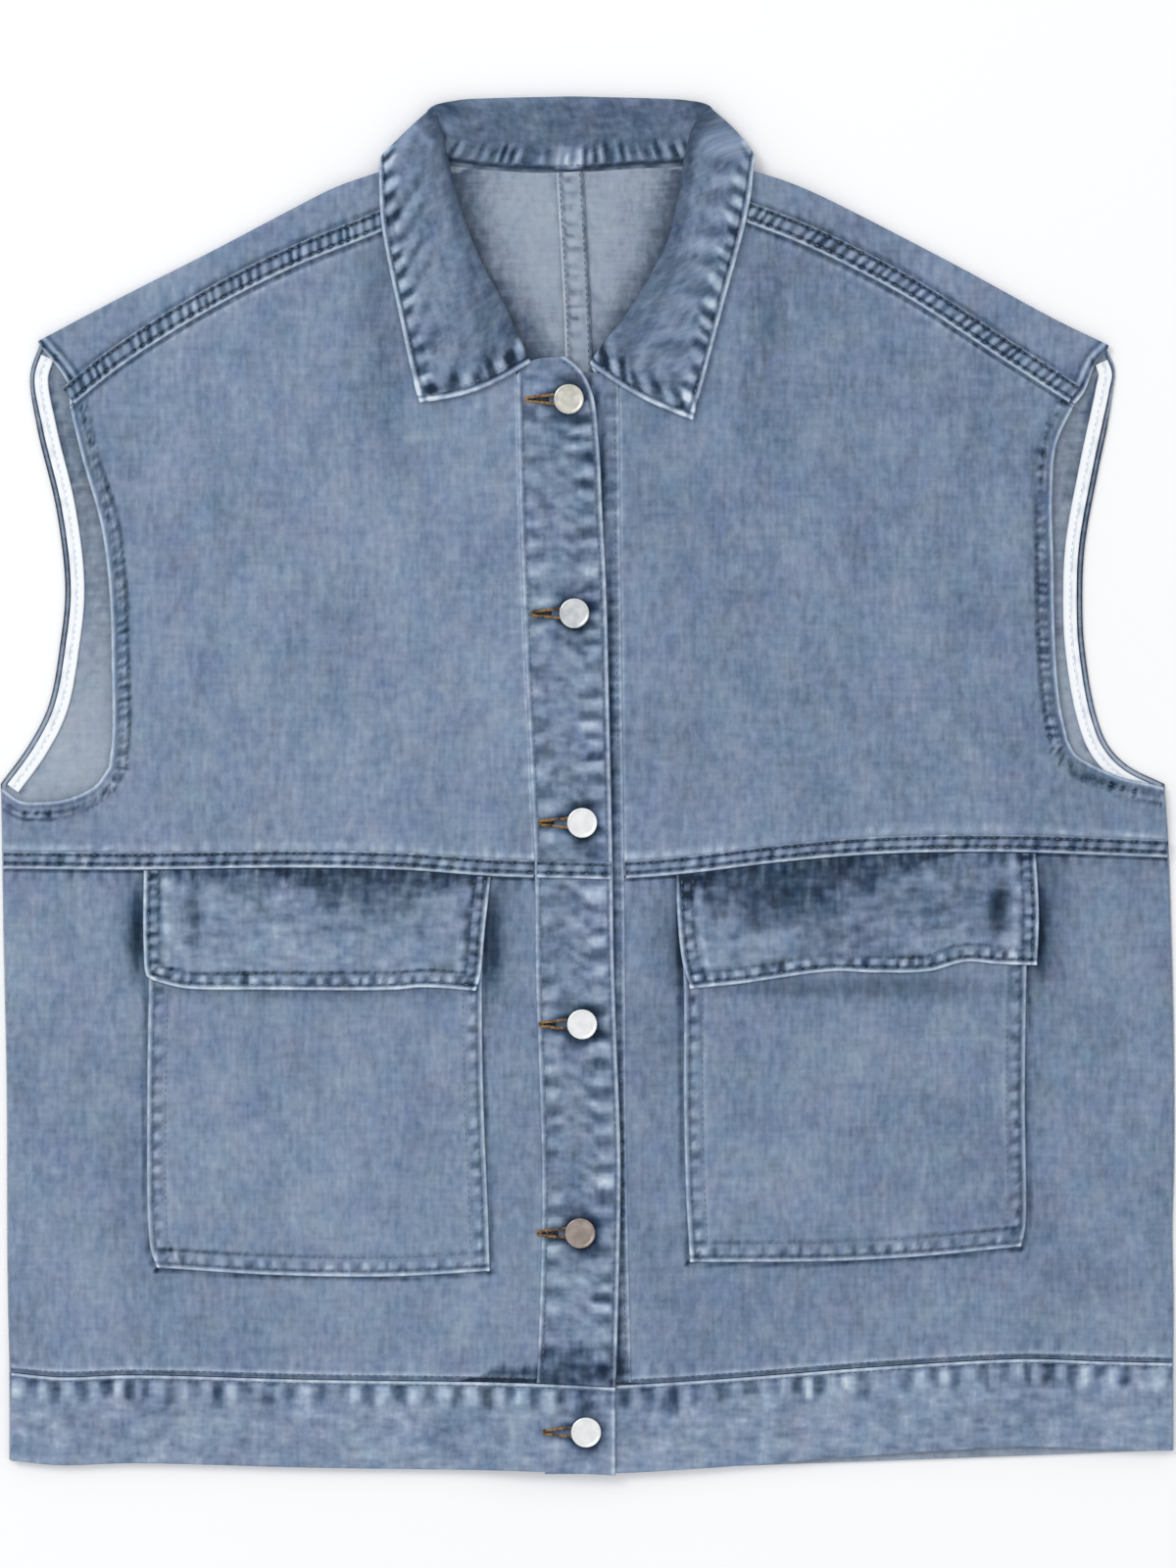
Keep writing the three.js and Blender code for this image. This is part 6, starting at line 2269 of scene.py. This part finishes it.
@dataclass
class Buttons:
    """Six tack buttons: a dished cap with a raised rim on a post, and a tack head underneath.

    Attributes:
        radius: of the cap in mm.
        post_radius: in mm.
        tack_radius: in mm.
        tack_height: in mm.
        cap_height: in mm.
        clearance: between the cap and the cloth in mm.
        segments: round the axis.
    """

    radius: float = 7.7
    post_radius: float = 2.0
    tack_radius: float = 4.5
    tack_height: float = 0.7
    cap_height: float = 1.9
    clearance: float = 0.4
    segments: int = 56

    def _profile(self, foot: float, seat: float) -> list[tuple[float, float]]:
        """Returns: radius and height of half a button's outline, from its foot up."""
        top = seat + self.cap_height
        return [
            (0.0, foot), (self.tack_radius - 0.25, foot), (self.tack_radius, foot + 0.2),
            (self.tack_radius, foot + self.tack_height - 0.15),
            (self.tack_radius - 0.2, foot + self.tack_height), (self.post_radius, foot + self.tack_height),
            (self.post_radius, seat), (self.radius - 0.6, seat), (self.radius - 0.15, seat + 0.2),
            (self.radius, seat + 0.6), (self.radius, top - 0.7), (self.radius - 0.1, top - 0.35),
            (self.radius - 0.35, top - 0.1), (self.radius - 0.65, top), (self.radius - 0.95, top - 0.08),
            (self.radius - 1.2, top - 0.3), (self.radius - 1.5, top - 0.42), (self.radius - 2.2, top - 0.4),
            (self.radius * 0.4, top - 0.3), (0.0, top - 0.26),
        ]

    def build(self) -> None:
        """Builds the buttons."""
        for k, (x, y, finish) in enumerate(BUTTONS):
            foot = float(Ground.front(np.array(x), np.array(y))) - SEAM_GAP - self.tack_height
            seat = float(Ground.over(np.array(x), np.array(y))) + TWO_PLY + self.clearance
            bm = bmesh.new()
            rows = self._profile(foot, seat)
            verts = [bm.verts.new(((x + radius) * MM, y * MM, z * MM)) for radius, z in rows]
            edges = [bm.edges.new(pair) for pair in zip(verts, verts[1:])]
            bmesh.ops.spin(bm, geom=verts + edges, cent=(x * MM, y * MM, 0), axis=(0, 0, 1),
                           angle=2 * math.pi, steps=self.segments, use_merge=True)
            bmesh.ops.remove_doubles(bm, verts=bm.verts, dist=0.01 * MM)
            bmesh.ops.recalc_face_normals(bm, faces=bm.faces)
            name = f"button_{k + 1}"
            publish(smooth_object(bm, name, "_nickel"), (finish,), "button", name)


@dataclass
class Studio:
    """A pale floor, soft light and the camera that looks straight down.

    Attributes:
        lens: focal length in mm.
        sensor: long side of the sensor in mm.
        frame_height: long side of what the camera sees, in metres.
        middle: the frame's middle in metres.
    """

    lens: float = 200.0
    sensor: float = 36.0
    frame_height: float = 0.8
    middle: tuple[float, float, float] = (0.0, 0.001, 0.005)

    def build(self) -> None:
        """Sets up the floor, the light and the camera."""
        bm = bmesh.new()
        bmesh.ops.create_grid(bm, x_segments=1, y_segments=1, size=4.0)
        floor = smooth_object(bm, "floor")
        floor.location.z = -0.0003
        graph = Graph("floor")
        colour = graph.ramp(graph.noise([0.002] * 3, 1.0), ((0.3, (252, 252, 252)), (0.7, (254, 254, 254))))
        graph.fill(graph.shader, {"Base Color": colour, "Roughness": 1.0})
        floor.data.materials.append(graph.material)
        bpy.context.scene.collection.objects.link(floor)
        floor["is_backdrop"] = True
        self._light()
        self._aim()

    def _light(self) -> None:
        """Adds an even world and a soft key from the upper left."""
        world = bpy.data.worlds.new("studio")
        world.use_nodes = True
        background = world.node_tree.nodes["Background"]
        background.inputs["Color"].default_value = (0.97, 0.98, 1.0, 1.0)
        background.inputs["Strength"].default_value = 0.84
        bpy.context.scene.world = world
        lamp = bpy.data.lights.new("key", "AREA")
        lamp.shape = "DISK"
        lamp.size = 2.0
        lamp.energy = 56.0
        key = bpy.data.objects.new("key", lamp)
        key.location = (-2.4, 2.0, 3.4)
        key.rotation_euler = (-key.location).to_track_quat("-Z", "Y").to_euler()
        bpy.context.scene.collection.objects.link(key)

    def _aim(self) -> None:
        """Places the camera at the photo's angle."""
        data = bpy.data.cameras.new("camera")
        data.lens = self.lens
        data.sensor_width = self.sensor
        data.sensor_fit = "AUTO"
        data.clip_end = 50.0
        camera = bpy.data.objects.new("camera", data)
        distance = self.frame_height * self.lens / self.sensor
        camera.location = (self.middle[0], self.middle[1], self.middle[2] + distance)
        bpy.context.scene.collection.objects.link(camera)
        bpy.context.scene.camera = camera
        bpy.context.scene.view_settings.view_transform = "Standard"


def plain(value: object) -> object:
    """Returns: a value with its vectors turned into plain lists."""
    if isinstance(value, dict):
        return {key: plain(item) for key, item in value.items()}
    if isinstance(value, (int, float, str)) or value is None:
        return value
    return [plain(item) for item in value]


def main() -> None:
    """Builds and dresses the vest, sets the studio up and hands everything over."""
    logging.basicConfig(level=logging.INFO, format="%(name)s %(message)s")
    before = plain(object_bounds())
    back = Back()
    fronts = [
        Front(Side.RIGHT, shade=0.05, stain=(114, 40, -22),
              rubs=((-64, -68, 3.5, 16, -0.5), (-56, -58, 5, 9, 0.3), (-10, -84, 36, 9, 0.2),
                    (28, -66, 20, 9, -0.16), (66, -64, 5, 10, 0.25), (74, -70, 3, 15, -0.35))),
        Front(Side.LEFT, shade=-0.02, stain=(58, 62, -26),
              rubs=((-34, -62, 40, 11, -0.3), (-44, -78, 12, 5, 0.3), (-6, -76, 20, 8, -0.2),
                    (40, -58, 24, 7, -0.2), (72, -62, 5, 13, -0.9), (40, -80, 16, 6, 0.16),
                    (76, -78, 3, 5, 0.5))),
    ]
    opening = Opening()
    collar = Collar()
    for part in (back, *fronts, opening, collar):
        part.build()
        part.dress()
        LOG.info("%s is done", type(part).__name__)
    Buttons().build()
    Studio().build()
    json.dumps({"cad": before, "scene": plain(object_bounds())})


if __name__ == "__main__":
    main()
